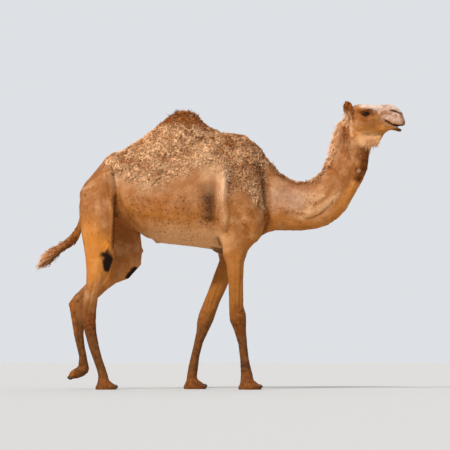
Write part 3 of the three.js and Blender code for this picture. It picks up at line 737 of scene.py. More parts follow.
    # painted shade in the hollow of the ear
    earCup = smoothStep(1.0, 0.75, np.hypot((x - 0.925) / 0.022, (z - 2.085) / 0.034)) * ear * (normals[:, 0] > -0.2)
    dark = strongest(
        # painted shade: the crease mark adds dark in the creases
        colour["dark"], 0.25 * ear, 0.75 * at["smudge"] * spots, 0.6 * colour["crease"], 0.4 * lipTip, 0.55 * chin,
        0.85 * smoothStep(1.2, 0.7, fromEye + 0.14 * small), 0.35 * earCup,
    )
    leg = strongest(
        colour["leg"], smoothStep(0.85, 0.4, z + 0.08 * patchy), 0.95 * smoothStep(1.22, 0.75, z) * (x > -0.2),
        # painted shade: the far, left legs darker
        0.5 * (smoothStep(0.0, 0.05, y) * smoothStep(0.9, 0.7, z)),
    )

    flesh = at["inner lips"] * smoothStep(0.5, 0.75, np.abs(normals[:, 2]))
    flesh *= (np.abs(y) < 0.043) & (x < 1.33) & (x > 1.215)
    flesh = np.maximum(flesh, 0.2 * smoothStep(1.28, 1.33, x) * smoothStep(1.98, 2.02, z))
    snout = smoothStep(1.12, 1.24, x) * smoothStep(1.935, 1.985, z + 0.006 * small)
    forehead = smoothStep(2.045, 2.085, z + 0.2 * (x - 1.1) + 0.016 * small + 0.02 * patchy)
    cream = strongest(
        colour["cream"], 0.92 * forehead * smoothStep(0.98, 1.0, x),
        (0.36 + 0.2 * small) * snout * (1 - 0.6 * smoothStep(2.0, 1.97, z)),
    )
    # less cream under the brow's painted shadow and around the nostril
    cream = cream * (1 - 0.8 * at["brow"]) * (1 - 0.5 * at["around the nostril"])
    cream = cream * (1 - 0.4 * at["muzzle shade"]) * (0.72 + 0.35 * small)
    return {
        "marksOne": np.stack([brown, pale, warm], 1).clip(0, 1),
        "marksTwo": np.stack([dark, leg, colour["speckle"]], 1).clip(0, 1),
        "marksThree": np.stack([flesh, cream, 0 * x], 1).clip(0, 1),
        "wool": wool,
    }


def addAttribute(mesh, name, values):
    kind, key = ("FLOAT_VECTOR", "vector") if values.ndim == 2 else ("FLOAT", "value")
    layer = mesh.attributes.new(name, kind, "POINT")
    layer.data.foreach_set(key, values.astype(np.float32).ravel())


# the skin lies inside the outline by the depth of the coat

depths = {
    "short": 0.0035,
    "wool": 0.0105,  # more than the short hair
    "tail": 0.006,
    "lumps": 0.0065,  # how far the wool's lumps lift the skin, and its gaps lower it
}


def coatDepth(points, marks):
    x, y, z = points.T
    depth = depths["short"] + depths["wool"] * marks["wool"]
    depth = depth + depths["tail"] * smoothStep(-1.1, -1.2, x)
    depth *= 1 - 0.6 * smoothStep(0.93, 0.99, x) * (z > 1.8)
    return depth * (1 - 0.7 * smoothStep(0.5, 0.2, z))


points = readPoints(body.data)
normals = readNormals(body.data)
marks = marksOf(points, normals)
points -= normals * (coatDepth(points, marks) - depths["lumps"] * lumpsOf(points) * marks["wool"])[:, None]
points[points[:, 2] < 0.007, 2] = 0.0004
writePoints(body.data, points)
for key in ("marksOne", "marksTwo", "marksThree"):
    addAttribute(body.data, key, marks[key])
# painted shade: the skin under the wool darker
addAttribute(body.data, "rootShadeAndTips", 0.62 - 0.62 * marks["wool"])


# node helpers

def addNode(tree, kind, settings=None, **inputs):
    node = tree.nodes.new(kind)
    for name, value in (settings or {}).items():
        setattr(node, name, value)
    for name, value in inputs.items():
        socket = node.inputs[int(name[1:])] if name[0] == "i" and name[1:].isdigit() else node.inputs[name]
        if hasattr(value, "is_output"):
            tree.links.new(value, socket)
        else:
            socket.default_value = value
    return node


def mixColours(tree, share, first, second, blend="MIX"):
    node = addNode(tree, "ShaderNodeMix", {"data_type": "RGBA", "blend_type": blend}, i0=share, i6=first, i7=second)
    return node.outputs[2]


def maths(tree, kind, first, second=0.0, clamp=False):
    return addNode(tree, "ShaderNodeMath", {"operation": kind, "use_clamp": clamp}, i0=first, i1=second).outputs[0]


def times(tree, first, second, clamp=False):
    return maths(tree, "MULTIPLY", first, second, clamp)


def noiseAt(tree, place, size, detail=2.0, rough=0.5):
    return addNode(tree, "ShaderNodeTexNoise", Vector=place, Scale=1 / size, Detail=detail, Roughness=rough).outputs[0]


def spread(tree, value, low, high, clampTo=(0.0, 1.0)):
    node = addNode(tree, "ShaderNodeMapRange", i0=value, i1=low, i2=high, i3=clampTo[0], i4=clampTo[1])
    return node.outputs[0]


def fromScreen(r, g, b):
    # a colour as a painter names it, 0 to 255, as the shader wants it
    return tuple(((c / 255 + 0.055) / 1.055) ** 2.4 if c > 10 else c / 255 / 12.92 for c in (r, g, b)) + (1.0,)


tones = {
    "sand": fromScreen(168, 107, 60),
    "sandDeep": fromScreen(145, 87, 43),
    "pale": fromScreen(242, 190, 140),
    "cream": fromScreen(236, 212, 194),
    "brown": fromScreen(170, 92, 24),
    "brownDeep": fromScreen(98, 44, 6),
    "warm": fromScreen(216, 134, 48),
    "leg": fromScreen(122, 72, 32),
    "legDeep": fromScreen(84, 48, 20),
    "dark": fromScreen(36, 16, 8),
    "flesh": fromScreen(78, 28, 22),
}


def makeMarkings():
    group = bpy.data.node_groups.new("markings", "ShaderNodeTree")
    face = group.interface
    for name, kind in (
        ("Place", "NodeSocketVector"), ("Marks One", "NodeSocketVector"), ("Marks Two", "NodeSocketVector"),
        ("Marks Three", "NodeSocketVector"), ("Root Shade And Tips", "NodeSocketFloat"), ("Contrast", "NodeSocketFloat"),
    ):
        face.new_socket(name, in_out="INPUT", socket_type=kind)
    face.new_socket("Color", in_out="OUTPUT", socket_type="NodeSocketColor")
    face.new_socket("Height", in_out="OUTPUT", socket_type="NodeSocketFloat")
    entry = group.nodes.new("NodeGroupInput")
    leave = group.nodes.new("NodeGroupOutput")
    place = entry.outputs["Place"]
    one = addNode(group, "ShaderNodeSeparateXYZ", Vector=entry.outputs["Marks One"]).outputs
    two = addNode(group, "ShaderNodeSeparateXYZ", Vector=entry.outputs["Marks Two"]).outputs
    three = addNode(group, "ShaderNodeSeparateXYZ", Vector=entry.outputs["Marks Three"]).outputs
    broad = noiseAt(group, place, 0.16, 3.0, 0.55)
    middle = noiseAt(group, place, 0.03, 4.0, 0.6)
    fine = noiseAt(group, place, 0.006, 3.0, 0.6)
    colour = mixColours(group, spread(group, broad, 0.35, 0.68), tones["sand"], tones["sandDeep"])
    colour = mixColours(group, spread(group, middle, 0.48, 0.72, (0.0, 0.36)), colour, tones["brown"])
    patches = noiseAt(group, place, 0.11, 4.0, 0.62)
    colour = mixColours(group, spread(group, patches, 0.46, 0.86, (0.0, 0.6)), colour, tones["pale"])
    lower = mixColours(group, spread(group, middle, 0.35, 0.7), tones["leg"], tones["legDeep"])
    colour = mixColours(group, two[1], colour, lower)
    ragged = times(group, maths(group, "SUBTRACT", middle, 0.5), 1.6)
    # orange: the coat's own, with painted warm bounce light on the lower parts
    warmAndBounceShare = times(group, one[2], 0.8, True)
    colour = mixColours(group, warmAndBounceShare, colour, tones["warm"])
    deep = mixColours(group, spread(group, middle, 0.4, 0.66), tones["brown"], tones["brownDeep"])
    edging = times(group, maths(group, "SUBTRACT", 1.3, one[0]), one[0])
    brownness = maths(group, "ADD", one[0], times(group, ragged, edging), True)
    colour = mixColours(group, brownness, colour, deep)
    paleness = maths(group, "ADD", one[1], times(group, ragged, one[1]), True)
    colour = mixColours(group, paleness, colour, tones["pale"])
    shaken = addNode(group, "ShaderNodeTexNoise", Vector=place, Scale=70.0, Detail=2.0).outputs["Color"]
    shaken = addNode(group, "ShaderNodeVectorMath", {"operation": "MULTIPLY_ADD"}, i0=shaken, i1=(0.022,) * 3, i2=place)
    spots = {"Vector": shaken.outputs[0], "Scale": 46.0, "Randomness": 1.0}
    spots = addNode(group, "ShaderNodeTexVoronoi", {"feature": "F1"}, **spots)
    spotty = times(group, spread(group, spots.outputs["Distance"], 0.34, 0.2), spread(group, middle, 0.44, 0.54))
    spotty = times(group, spotty, times(group, two[2], 0.85), True)
    colour = mixColours(group, spotty, colour, tones["brownDeep"])
    creaminess = maths(group, "ADD", three[1], times(group, times(group, ragged, 0.6), three[1]), True)
    colour = mixColours(group, creaminess, colour, tones["cream"])
    colour = mixColours(group, two[0], colour, tones["dark"])
    colour = mixColours(group, three[0], colour, tones["flesh"])
    # painted shade and light: strands darker at the root and lighter at the tip, the skin under the wool darker; the
    # tips also their own paler colour
    shade = times(group, maths(group, "SUBTRACT", entry.outputs["Root Shade And Tips"], 0.55), entry.outputs["Contrast"])
    shade = maths(group, "ADD", times(group, maths(group, "SUBTRACT", fine, 0.5), 0.7), shade)
    shade = spread(group, shade, -0.8, 1.07, (0.3, 1.7))
    grey = addNode(group, "ShaderNodeCombineColor", i0=shade, i1=shade, i2=shade).outputs[0]
    colour = mixColours(group, 1.0, colour, grey, "MULTIPLY")
    group.links.new(colour, leave.inputs["Color"])
    # short hair lying back along the trunk and down the legs
    lying = addNode(group, "ShaderNodeMapping", i0=place, i2=(0.0, math.radians(-28), 0.0), i3=(42.0, 240.0, 240.0))
    hanging = addNode(group, "ShaderNodeMapping", i0=place, i3=(240.0, 240.0, 42.0))
    high = addNode(group, "ShaderNodeSeparateXYZ", Vector=place).outputs[2]
    lowDown = spread(group, high, 1.2, 1.0)
    lying, hanging = (noiseAt(group, way.outputs[0], 1.0, 2.0, 0.6) for way in (lying, hanging))
    lying = times(group, lying, maths(group, "SUBTRACT", 1.0, lowDown))
    hair = maths(group, "ADD", lying, times(group, hanging, lowDown))
    group.links.new(maths(group, "ADD", hair, times(group, middle, 0.5)), leave.inputs["Height"])
    return group


markings = makeMarkings()


def plainMaterial(name, rough):
    made = bpy.data.materials.new(name)
    made.use_nodes = True
    tree = made.node_tree
    shader = tree.nodes["Principled BSDF"]
    shader.inputs["Roughness"].default_value = rough
    return made, tree, shader, tree.nodes.new("ShaderNodeTexCoord").outputs["Object"]


def paintBetween(tree, shader, share, first, second):
    tree.links.new(mixColours(tree, share, fromScreen(*first), fromScreen(*second)), shader.inputs["Base Color"])


def roughen(tree, shader, height, strength, depth):
    bump = addNode(tree, "ShaderNodeBump", Height=height, Strength=strength, Distance=depth)
    tree.links.new(bump.outputs[0], shader.inputs["Normal"])


def hideMaterial(name, contrast, rough, bump, bumpDepth, sheen):
    made, tree, shader, place = plainMaterial(name, rough)
    group = tree.nodes.new("ShaderNodeGroup")
    group.node_tree = markings
    group.inputs["Contrast"].default_value = contrast
    tree.links.new(place, group.inputs["Place"])
    for source, socket, output in (("marksOne", "Marks One", "Vector"), ("marksTwo", "Marks Two", "Vector"),
                                   ("marksThree", "Marks Three", "Vector"), ("rootShadeAndTips", "Root Shade And Tips", "Fac")):
        reader = addNode(tree, "ShaderNodeAttribute", {"attribute_name": source})
        tree.links.new(reader.outputs[output], group.inputs[socket])
    tree.links.new(group.outputs["Color"], shader.inputs["Base Color"])
    roughen(tree, shader, group.outputs["Height"], bump, bumpDepth)
    shader.inputs["Sheen Weight"].default_value = sheen
    shader.inputs["Sheen Roughness"].default_value = 0.5
    shader.inputs["Specular IOR Level"].default_value = 0.12
    return made


finishes = {
    "hide": {"contrast": 0.9, "rough": 0.8, "bump": 0.8, "bumpDepth": 0.004, "sheen": 0.0},
    "fur": {"contrast": 1.0, "rough": 0.85, "bump": 0.25, "bumpDepth": 0.002, "sheen": 0.02},
}
hide, fur = (hideMaterial(name, **finish) for name, finish in finishes.items())
body.data.materials.append(hide)
selectOnly(body)
bpy.ops.object.shade_smooth()

# an unwrap of the skin, by which the tufts take their places on their own maps

bpy.ops.object.mode_set(mode="EDIT")
bpy.ops.mesh.select_all(action="SELECT")
bpy.ops.uv.smart_project(angle_limit=math.radians(66), island_margin=0.001)
bpy.ops.object.mode_set(mode="OBJECT")
body.data.uv_layers.active.name = "OFBake"
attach(body, "root")
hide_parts(*fleshNodes)
say(f"skin unwrapped: {len(body.data.polygons)} faces")


# the coat: tufts and locks rooted on the skin's triangles

flows = [  # which way the hair lies on the side view: place, direction
    (1.30, 2.00, -1.0, 0.0), (1.10, 2.10, -1.0, 0.05), (1.05, 1.95, -0.85, -0.5), (0.95, 2.06, -0.8, -0.6),
    (1.12, 1.86, -0.8, -0.6), (0.82, 1.90, -0.6, -0.8), (1.05, 1.70, -0.35, -0.95), (0.85, 1.50, -0.75, -0.65),
    (0.76, 1.68, -0.75, -0.5), (0.70, 1.28, -0.95, -0.3), (0.42, 1.40, -1.0, -0.15), (0.56, 1.56, -1.0, 0.0),
    (0.33, 1.30, -0.35, -0.95), (0.05, 1.88, -0.9, -0.4), (0.15, 1.50, -0.4, -0.9), (-0.12, 1.95, 0.1, -1.0),
    (-0.29, 2.05, -0.4, -0.9), (-0.60, 1.85, -0.9, -0.45), (-0.30, 1.40, -0.75, -0.65), (-0.30, 1.10, -0.9, -0.3),
    (-0.70, 1.70, -0.9, -0.45), (-0.95, 1.55, -0.6, -0.8), (-0.90, 1.20, -0.2, -1.0), (-0.68, 1.30, -0.5, -0.85),
    (0.10, 0.80, 0.0, -1.0), (0.13, 0.35, 0.1, -1.0), (0.20, 0.06, 0.5, -0.6), (-0.15, 0.45, -0.3, -1.0),
    (-0.95, 0.75, -0.2, -1.0), (-0.93, 0.35, 0.2, -1.0), (-0.85, 0.06, 0.5, -0.6), (-1.06, 0.40, 0.05, -1.0),
    (-1.05, 1.38, 0.0, -1.0), (-1.09, 1.15, -0.55, -0.85), (-1.25, 1.00, -0.9, -0.42), (0.92, 2.09, -0.25, 1.0),
]


def alongSkin(ways, normals):
    # ways turned to lie on the skin; where they point straight out of it, they take another
    ways = ways - normals * np.sum(ways * normals, axis=1)[:, None]
    steep = np.linalg.norm(ways, axis=1) < 0.25
    ways[steep] = np.cross(normals[steep], [0.05, 1.0, 0.05])
    return ways / np.maximum(np.linalg.norm(ways, axis=1), 1e-3)[:, None]


def lieOf(points, normals, swirl, seed):
    flow = np.array(flows)
    offset = points[:, None, [0, 2]] - flow[None, :, :2]
    weight = 1 / (np.sum(offset ** 2, axis=2) + 0.0008) ** 2
    way = (weight @ flow[:, 2:]) / weight.sum(1)[:, None]
    lie = alongSkin(np.stack([way[:, 0], np.zeros(len(points)), way[:, 1]], 1), normals)
    across = np.cross(normals, lie)
    turn = lattice(points, 0.07, seed) * swirl
    return lie * np.cos(turn)[:, None] + across * np.sin(turn)[:, None]


mesh = body.data
mesh.calc_loop_triangles()
corners = readRows(mesh.loop_triangles, "vertices", 3, np.int32)
loops = readRows(mesh.loop_triangles, "loops", 3, np.int32)
uvs = readRows(mesh.uv_layers["OFBake"].uv, "vector", 2)
skinPoints = readPoints(mesh)
skinNormals = readNormals(mesh)
first, second, third = (skinPoints[corners[:, i]] for i in range(3))
areas = np.linalg.norm(np.cross(second - first, third - first), axis=1) / 2
middles = (first + second + third) / 3
middleNormals = skinNormals[corners].mean(1)


def onePerCell(points, spacing):
    cells = np.floor(points / spacing).astype(np.int64) + 1000
    keys = (cells[:, 0] * 4096 + cells[:, 1]) * 4096 + cells[:, 2]
    return np.sort(np.unique(keys, return_index=True)[1])


def scatter(chosen, spacing, seed):
    # roots spread evenly over the chosen triangles, about one to a cell
    rng = np.random.default_rng(seed)
    chosen = np.nonzero(chosen)[0]
    share = areas[chosen] / areas[chosen].sum()
    count = int(areas[chosen].sum() / spacing ** 2 * 4)
    picked = rng.choice(chosen, count, p=share)
    a, b = rng.random(count), rng.random(count)
    over = a + b > 1
    a[over], b[over] = 1 - a[over], 1 - b[over]
    parts = np.stack([1 - a - b, a, b], 1)[:, :, None]
    roots = (skinPoints[corners[picked]] * parts).sum(1)
    kept = onePerCell(roots, spacing)
    normals = (skinNormals[corners[picked]] * parts).sum(1)[kept]
    normals /= np.linalg.norm(normals, axis=1)[:, None]
    places = (uvs[loops[picked]] * parts).sum(1)[kept]
    return roots[kept], normals, places


patch = 0.003  # what each tuft takes of its map


def centreLines(roots, normals, lies, style, rng):
    # where the middle of each lock runs, and its own directions, from root to tip
    count = len(roots)
    length = style["length"] * rng.uniform(0.75, 1.25, count)
    if "lengthAt" in style:
        length = length * style["lengthAt"](roots)
    angle = style["lift"] * rng.uniform(0.5, 1.3, count)
    curl = style["curl"] * rng.uniform(0.3, 1.2, count) * rng.choice([-1, 1], count)
    turn = rng.normal(0, style["stray"], count)
    across = np.cross(normals, lies)
    stations = np.linspace(0, 1, style["rings"] + 1)
    centre = roots - normals * style["sink"]
    lines, sides, ups = [], [], []
    for j, s in enumerate(stations):
        tilt = angle * (1 - style["droop"] * s)
        heading = turn + curl * s * s
        ahead = lies * np.cos(heading)[:, None] + across * np.sin(heading)[:, None]
        step = length * (s - stations[max(j - 1, 0)])
        centre = centre + (ahead * np.cos(tilt)[:, None] + normals * np.sin(tilt)[:, None]) * step[:, None]
        lines.append(centre)
        sides.append(np.cross(normals, ahead))
        ups.append(normals * np.cos(tilt)[:, None] - ahead * np.sin(tilt)[:, None])
    return np.stack(lines, 1), np.stack(sides, 1), np.stack(ups, 1)


def nearest(among, points):
    tree = KDTree(len(among))
    for i, p in enumerate(among):
        tree.insert(p, i)
    tree.balance()
    return np.array([tree.find(p)[1] for p in points])


def growTufts(name, roots, normals, lies, places, style, seed, material=None):
    rng = np.random.default_rng(seed)
    count = len(roots)
    rings = style["rings"]
    stations = np.linspace(0, 1, rings + 1)
    marks = marksOf(roots, normals)
    tone = rng.uniform(-0.5, 0.5, count) * style["vary"]
    if style.get("clump"):
        # strands of one lock share its course and draw together towards its tip
        heads = onePerCell(roots, style["clump"])
        lead = nearest(roots[heads] + normals[heads] * 0.03, roots + normals * 0.03)
        courses = centreLines(roots[heads], normals[heads], lies[heads], style, rng)
        lines, sides, ups = (part[lead] for part in courses)
        offset = roots - roots[heads][lead]
        offset *= np.minimum(1, style["clump"] / np.maximum(np.linalg.norm(offset, axis=1), 1e-4))[:, None]
        size = rng.uniform(0.7, 1.1, count)[:, None]
        course = lines - lines[:, :1]
        lines = course * size[:, :, None] + (roots - normals * style["sink"])[:, None]
        lines -= offset[:, None] * (style["pull"] * stations ** 0.7)[None, :, None]
        loose = rng.normal(0, 1, (count, 3)) * style["loose"]
        lines += loose[:, None] * np.sin(stations * 2.4)[None, :, None]
        tone = tone + rng.uniform(-1, 1, len(heads))[lead] * style["vary"]
        if style.get("mottle"):
            lumpPale = np.clip(rng.normal(0, 1, len(heads))[lead] * style["mottle"], 0, 0.7)
            marks["marksOne"][:, 1] = np.clip(marks["marksOne"][:, 1] + lumpPale, 0, 1)
    else:
        lines, sides, ups = centreLines(roots, normals, lies, style, rng)
    width = style["width"] * rng.uniform(0.75, 1.25, count)
    thick = style["thick"] * rng.uniform(0.8, 1.2, count)
    shape = np.interp(stations, np.linspace(0, 1, len(style["shape"])), style["shape"])
    perTuft = rings * 3 + 1  # two sides and a ridge at each ring, and the tip
    vertices = np.empty((count, perTuft, 3))
    facing = np.empty((count, perTuft, 3))
    vertices[:, -1], facing[:, -1] = lines[:, -1], ups[:, -1]
    for j in range(rings):
        half = sides[:, j] * (width * shape[j] / 2)[:, None]
        lean = sides[:, j] * style["round"]
        ridge = ups[:, j] * (thick * shape[j])[:, None]
        for place, offset, way in ((0, half, lean), (1, -half, -lean), (2, ridge, 0)):
            vertices[:, j * 3 + place] = lines[:, j] + offset
            facing[:, j * 3 + place] = ups[:, j] + way
    under = -ups[:, np.append(np.repeat(np.arange(rings), 3), rings)]
    vertices[:, :, 2] = np.maximum(vertices[:, :, 2], 0.0006)
    pattern = [(0, 1, 2)]
    for j in range(rings - 1):
        a, b = j * 3, j * 3 + 3
        pattern += [(a, b, b + 1, a + 1), (a + 1, b + 1, b + 2, a + 2), (a + 2, b + 2, b, a)]
    a, tip = rings * 3 - 3, rings * 3
    pattern += [(a, tip, a + 1), (a + 1, tip, a + 2), (a + 2, tip, a)]
    below = np.concatenate([[all(i == tip or i % 3 < 2 for i in face)] * len(face) for face in pattern])
    flat = np.concatenate([np.array(face) for face in pattern])
    sizes = np.array([len(face) for face in pattern])
    loopVertices = (np.arange(count)[:, None] * perTuft + flat[None, :]).ravel()
    starts = np.concatenate([[0], np.cumsum(sizes)[:-1]])
    loopStarts = (np.arange(count)[:, None] * len(flat) + starts[None, :]).ravel()
    made = bpy.data.meshes.new(name)
    made.vertices.add(count * perTuft)
    made.vertices.foreach_set("co", vertices.astype(np.float32).ravel())
    made.loops.add(len(loopVertices))
    made.loops.foreach_set("vertex_index", loopVertices.astype(np.int32))
    made.polygons.add(len(loopStarts))
    made.polygons.foreach_set("loop_start", loopStarts.astype(np.int32))
    made.update(calc_edges=True)
    made.polygons.foreach_set("use_smooth", np.ones(len(loopStarts), bool))
    # light falls on the strands as on the skin under them, so they read as one coat
    facing = np.where(below[None, :, None], under[:, flat], facing[:, flat]).reshape(-1, 3)
    made.normals_split_custom_set(facing / np.linalg.norm(facing, axis=1)[:, None])
    ringShare = np.append(np.repeat(stations[:-1], 3), 1.0)
    sidesOf = np.append(np.tile([1.0, -1.0, 0.0], rings), 0.0)
    at = np.empty((count, perTuft, 2))
    at[:, :, 0] = places[:, None, 0] + sidesOf[None, :] * patch / 2
    at[:, :, 1] = places[:, None, 1] + (ringShare[None, :] - 0.5) * patch
    layer = made.uv_layers.new(name="OFBake")
    layer.uv.foreach_set("vector", at.reshape(-1, 2)[loopVertices].astype(np.float32).ravel())
    for key in ("marksOne", "marksTwo", "marksThree"):
        addAttribute(made, key, np.repeat(marks[key], perTuft, axis=0))
    # each strand from its dark root to its light tip: painted shade at the roots, with the hair's own paler tips
    low, top = style["tones"]
    addAttribute(made, "rootShadeAndTips", (low + (top - low) * ringShare[None, :] + tone[:, None]).ravel())
    made.materials.append(material or fur)
    o = bpy.data.objects.new(name, made)
    bpy.context.collection.objects.link(o)
    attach(o, "root")
    say(f"{name}: {count} tufts, {count * (rings * 6 - 2)} triangles")
    return o


isWool = marksOf(middles, middleNormals)["wool"] > 0.35
x, y, z = middles.T
headSide = (x > 0.93) & (z > 1.85)
tailSide = (x < -1.085) & (z > 0.7) & (np.abs(y) < 0.06)
legSide = (z < 0.98) & ~tailSide
hairSide = ~isWool & ~headSide & ~tailSide & ~legSide
crownSide = isWool & (z > 1.8) & (x < 0.3)

wool = {
    "clump": 0.0135, "pull": 0.5, "loose": 0.0028, "mottle": 0.08, "rings": 3, "sink": 0.004, "round": 0.8,
    "shape": [0.8, 1.0, 0.7, 0.3], "vary": 0.18, "tones": (-0.7, 1.6), "slot": "wool",
    "spacing": 0.0055, "length": 0.029, "width": 0.0033, "thick": 0.0023, "lift": 1.0, "droop": 1.2,
    "curl": 2.7, "stray": 0.9, "swirl": 1.1,
    "lengthAt": lambda p: (0.35 + 0.65 * marksOf(p, 0 * p)["wool"]) * (1 + 0.3 * lumpsOf(p)),
}
hair = {
    "clump": 0.015, "pull": 0.45, "loose": 0.0012, "rings": 2, "sink": 0.0006, "round": 0.35,
    "shape": [0.7, 1.0, 0.3], "vary": 0.07, "tones": (0.46, 0.7), "slot": "coat",
    "spacing": 0.0122, "length": 0.023, "width": 0.0031, "thick": 0.001, "lift": 0.11, "droop": 1.4,
    "curl": 0.5, "stray": 0.2, "swirl": 0.35,
}
coats = {
    "woolCrownRight": {**wool, "where": crownSide & (x < -0.02) & (y < 0), "length": 0.032},
    "woolCrownLeft": {**wool, "where": crownSide & (x < -0.02) & (y >= 0), "length": 0.032},
    "woolWithers": {**wool, "where": crownSide & (x >= -0.02)},
    "woolRight": {**wool, "where": isWool & ~crownSide & (y < 0) & (x < 0.33) & (x > -0.2)},
    "woolLeft": {**wool, "where": isWool & ~crownSide & (y >= 0) & (x < 0.33) & (x > -0.2)},
    "woolRearRight": {**wool, "where": isWool & ~crownSide & (y < 0) & (x <= -0.2), "length": 0.034,
                      "curl": 2.2, "stray": 0.9},
    "woolRearLeft": {**wool, "where": isWool & ~crownSide & (y >= 0) & (x <= -0.2), "length": 0.034,
                     "curl": 2.2, "stray": 0.9},
    "woolNape": {**wool, "where": isWool & (x >= 0.33) & ~headSide, "spacing": 0.006, "length": 0.04,
                 "width": 0.0032, "thick": 0.0022, "lift": 0.9, "curl": 1.7, "stray": 0.9, "tones": (-0.1, 1.1)},
    "hairFrontRight": {**hair, "where": hairSide & (y < 0) & (x > 0)},
    "hairRearRight": {**hair, "where": hairSide & (y < 0) & (x <= 0)},
    "hairFrontLeft": {**hair, "where": hairSide & (y >= 0) & (x > 0)},
    "hairRearLeft": {**hair, "where": hairSide & (y >= 0) & (x <= 0)},
    "hairLegs": {**hair, "where": legSide & (z > 0.012), "length": 0.014, "width": 0.0022, "thick": 0.0007,
                 "spacing": 0.0102, "lift": 0.06, "sink": 0.0004, "stray": 0.12, "loose": 0.0006, "pull": 0.2,
                 "slot": "leg"},
    "hairHead": {**hair, "where": headSide, "clump": 0.008, "length": 0.0085, "width": 0.0013, "thick": 0.0005,
                 "spacing": 0.0047, "loose": 0.0006, "sink": 0.0003, "slot": "face"},
    "hairTail": {**hair, "where": tailSide, "clump": 0.02, "length": 0.045, "width": 0.0032, "thick": 0.002,
                 "spacing": 0.0075, "lift": 0.25, "pull": 0.6, "loose": 0.003, "rings": 4, "round": 0.8,
                 "shape": [0.8, 1.0, 0.85, 0.55, 0.2], "vary": 0.2, "tones": (0.2, 0.95), "slot": "tail"},
}


def keepClear(roots, normals):
    # no hair on the eyes, the inside of the mouth, the nostrils or the calluses
    ex, ez = eye["place"][::2]
    marks = marksOf(roots, normals)
    clear = np.hypot((roots[:, 0] - ex) / 1.5, roots[:, 2] - ez - eye["tilt"] * (roots[:, 0] - ex)) > 0.0165
    clear |= (roots[:, 0] < 0.98) | (roots[:, 0] > 1.12)
    clear &= marks["marksThree"][:, 0] < 0.3
    clear &= (marks["marksTwo"][:, 0] < 0.75) | (roots[:, 0] < 0.5) & (roots[:, 2] > 1.1)
    return clear


for number, (name, style) in enumerate(coats.items()):
    roots, normals, places = scatter(style["where"], style["spacing"], 100 + number)
    clear = keepClear(roots, normals)
    roots, normals, places = roots[clear], normals[clear], places[clear]
    lies = lieOf(roots, normals, style["swirl"], 200 + number)
    growTufts(name, roots, normals, lies, places, style, 300 + number)

# long loose hair: the tassel, the throat, the nape behind the ears and the ears' edges
long = {
    "clump": 0.014, "pull": 0.5, "rings": 5, "sink": 0.003, "shape": [0.7, 1.0, 0.9, 0.7, 0.45, 0.15],
    "vary": 0.22, "stray": 0.15, "round": 0.8,
}
ragged = lattice(middles, 0.03, 51)
tails = {
    "crownTop": {**long, "where": (z > 2.015) & (x < -0.1) & (x > -0.45), "slot": "wool", "spacing": 0.0075,
                 "length": 0.036, "width": 0.0032, "thick": 0.0022, "lift": 1.15, "droop": 0.6, "curl": 2.2,
                 "loose": 0.005, "stray": 0.9, "tones": (0.0, 1.2), "lie": (-0.8, 0, -0.2)},
    "tassel": {**long, "where": (x < -1.19) & (z > 0.7), "slot": "tail", "spacing": 0.0075, "length": 0.06,
               "lengthAt": lambda p: 0.7 + 0.5 * smoothStep(-1.2, -1.32, p[:, 0]), "width": 0.0034,
               "thick": 0.0024, "lift": 0.4, "droop": 1.2, "curl": 0.5, "loose": 0.009, "tones": (0.4, 1.4),
               "lie": (-0.85, 0, -0.5)},
    "throatHair": {**long, "where": (x > 0.99) & (x < 1.16) & (z < 1.88 + 0.02 * ragged) & (z > 1.70)
                   & (ragged > -0.35) & (middleNormals[:, 2] < 0.3) & (middleNormals[:, 0] > -0.3),
                   "lengthAt": lambda p: 0.45 + 0.9 * near(p, [(1.10, 1.82), (1.14, 1.83)], 0.03, 0.06),
                   "slot": "coat", "spacing": 0.0095, "length": 0.036, "width": 0.0019, "thick": 0.0013,
                   "lift": 0.4, "droop": 0.9, "curl": 0.6, "loose": 0.006, "tones": (0.45, 0.95),
                   "lie": (-0.25, 0, -1)},
    "napeHair": {**long, "where": (x < 0.935) & (x > 0.74) & (z > 1.72) & (z < 2.04) & (middleNormals[:, 0] < 0.1),
                 "slot": "wool", "spacing": 0.008, "length": 0.05, "width": 0.0026, "thick": 0.0017, "lift": 0.95,
                 "droop": 0.8, "curl": 1.4, "loose": 0.008, "tones": (0.2, 1.75), "lie": (-0.5, 0, -0.7)},
    "earHair": {**long, "where": (x < 0.985) & (x > 0.85) & (z > 2.055), "slot": "coat", "spacing": 0.0052,
                "clump": 0.007, "length": 0.0095, "width": 0.0014, "thick": 0.0009, "lift": 0.35, "droop": 1.2,
                "curl": 0.5, "loose": 0.0015, "tones": (0.3, 0.9), "lie": (-0.1, 0, 1)},
}
for number, (name, style) in enumerate(tails.items()):
    roots, normals, places = scatter(style["where"], style["spacing"], 500 + number)
    lies = alongSkin(np.tile(np.array(style["lie"], float), (len(roots), 1)), normals)
    growTufts(name, roots, normals, lies, places, style, 600 + number)

# eyes

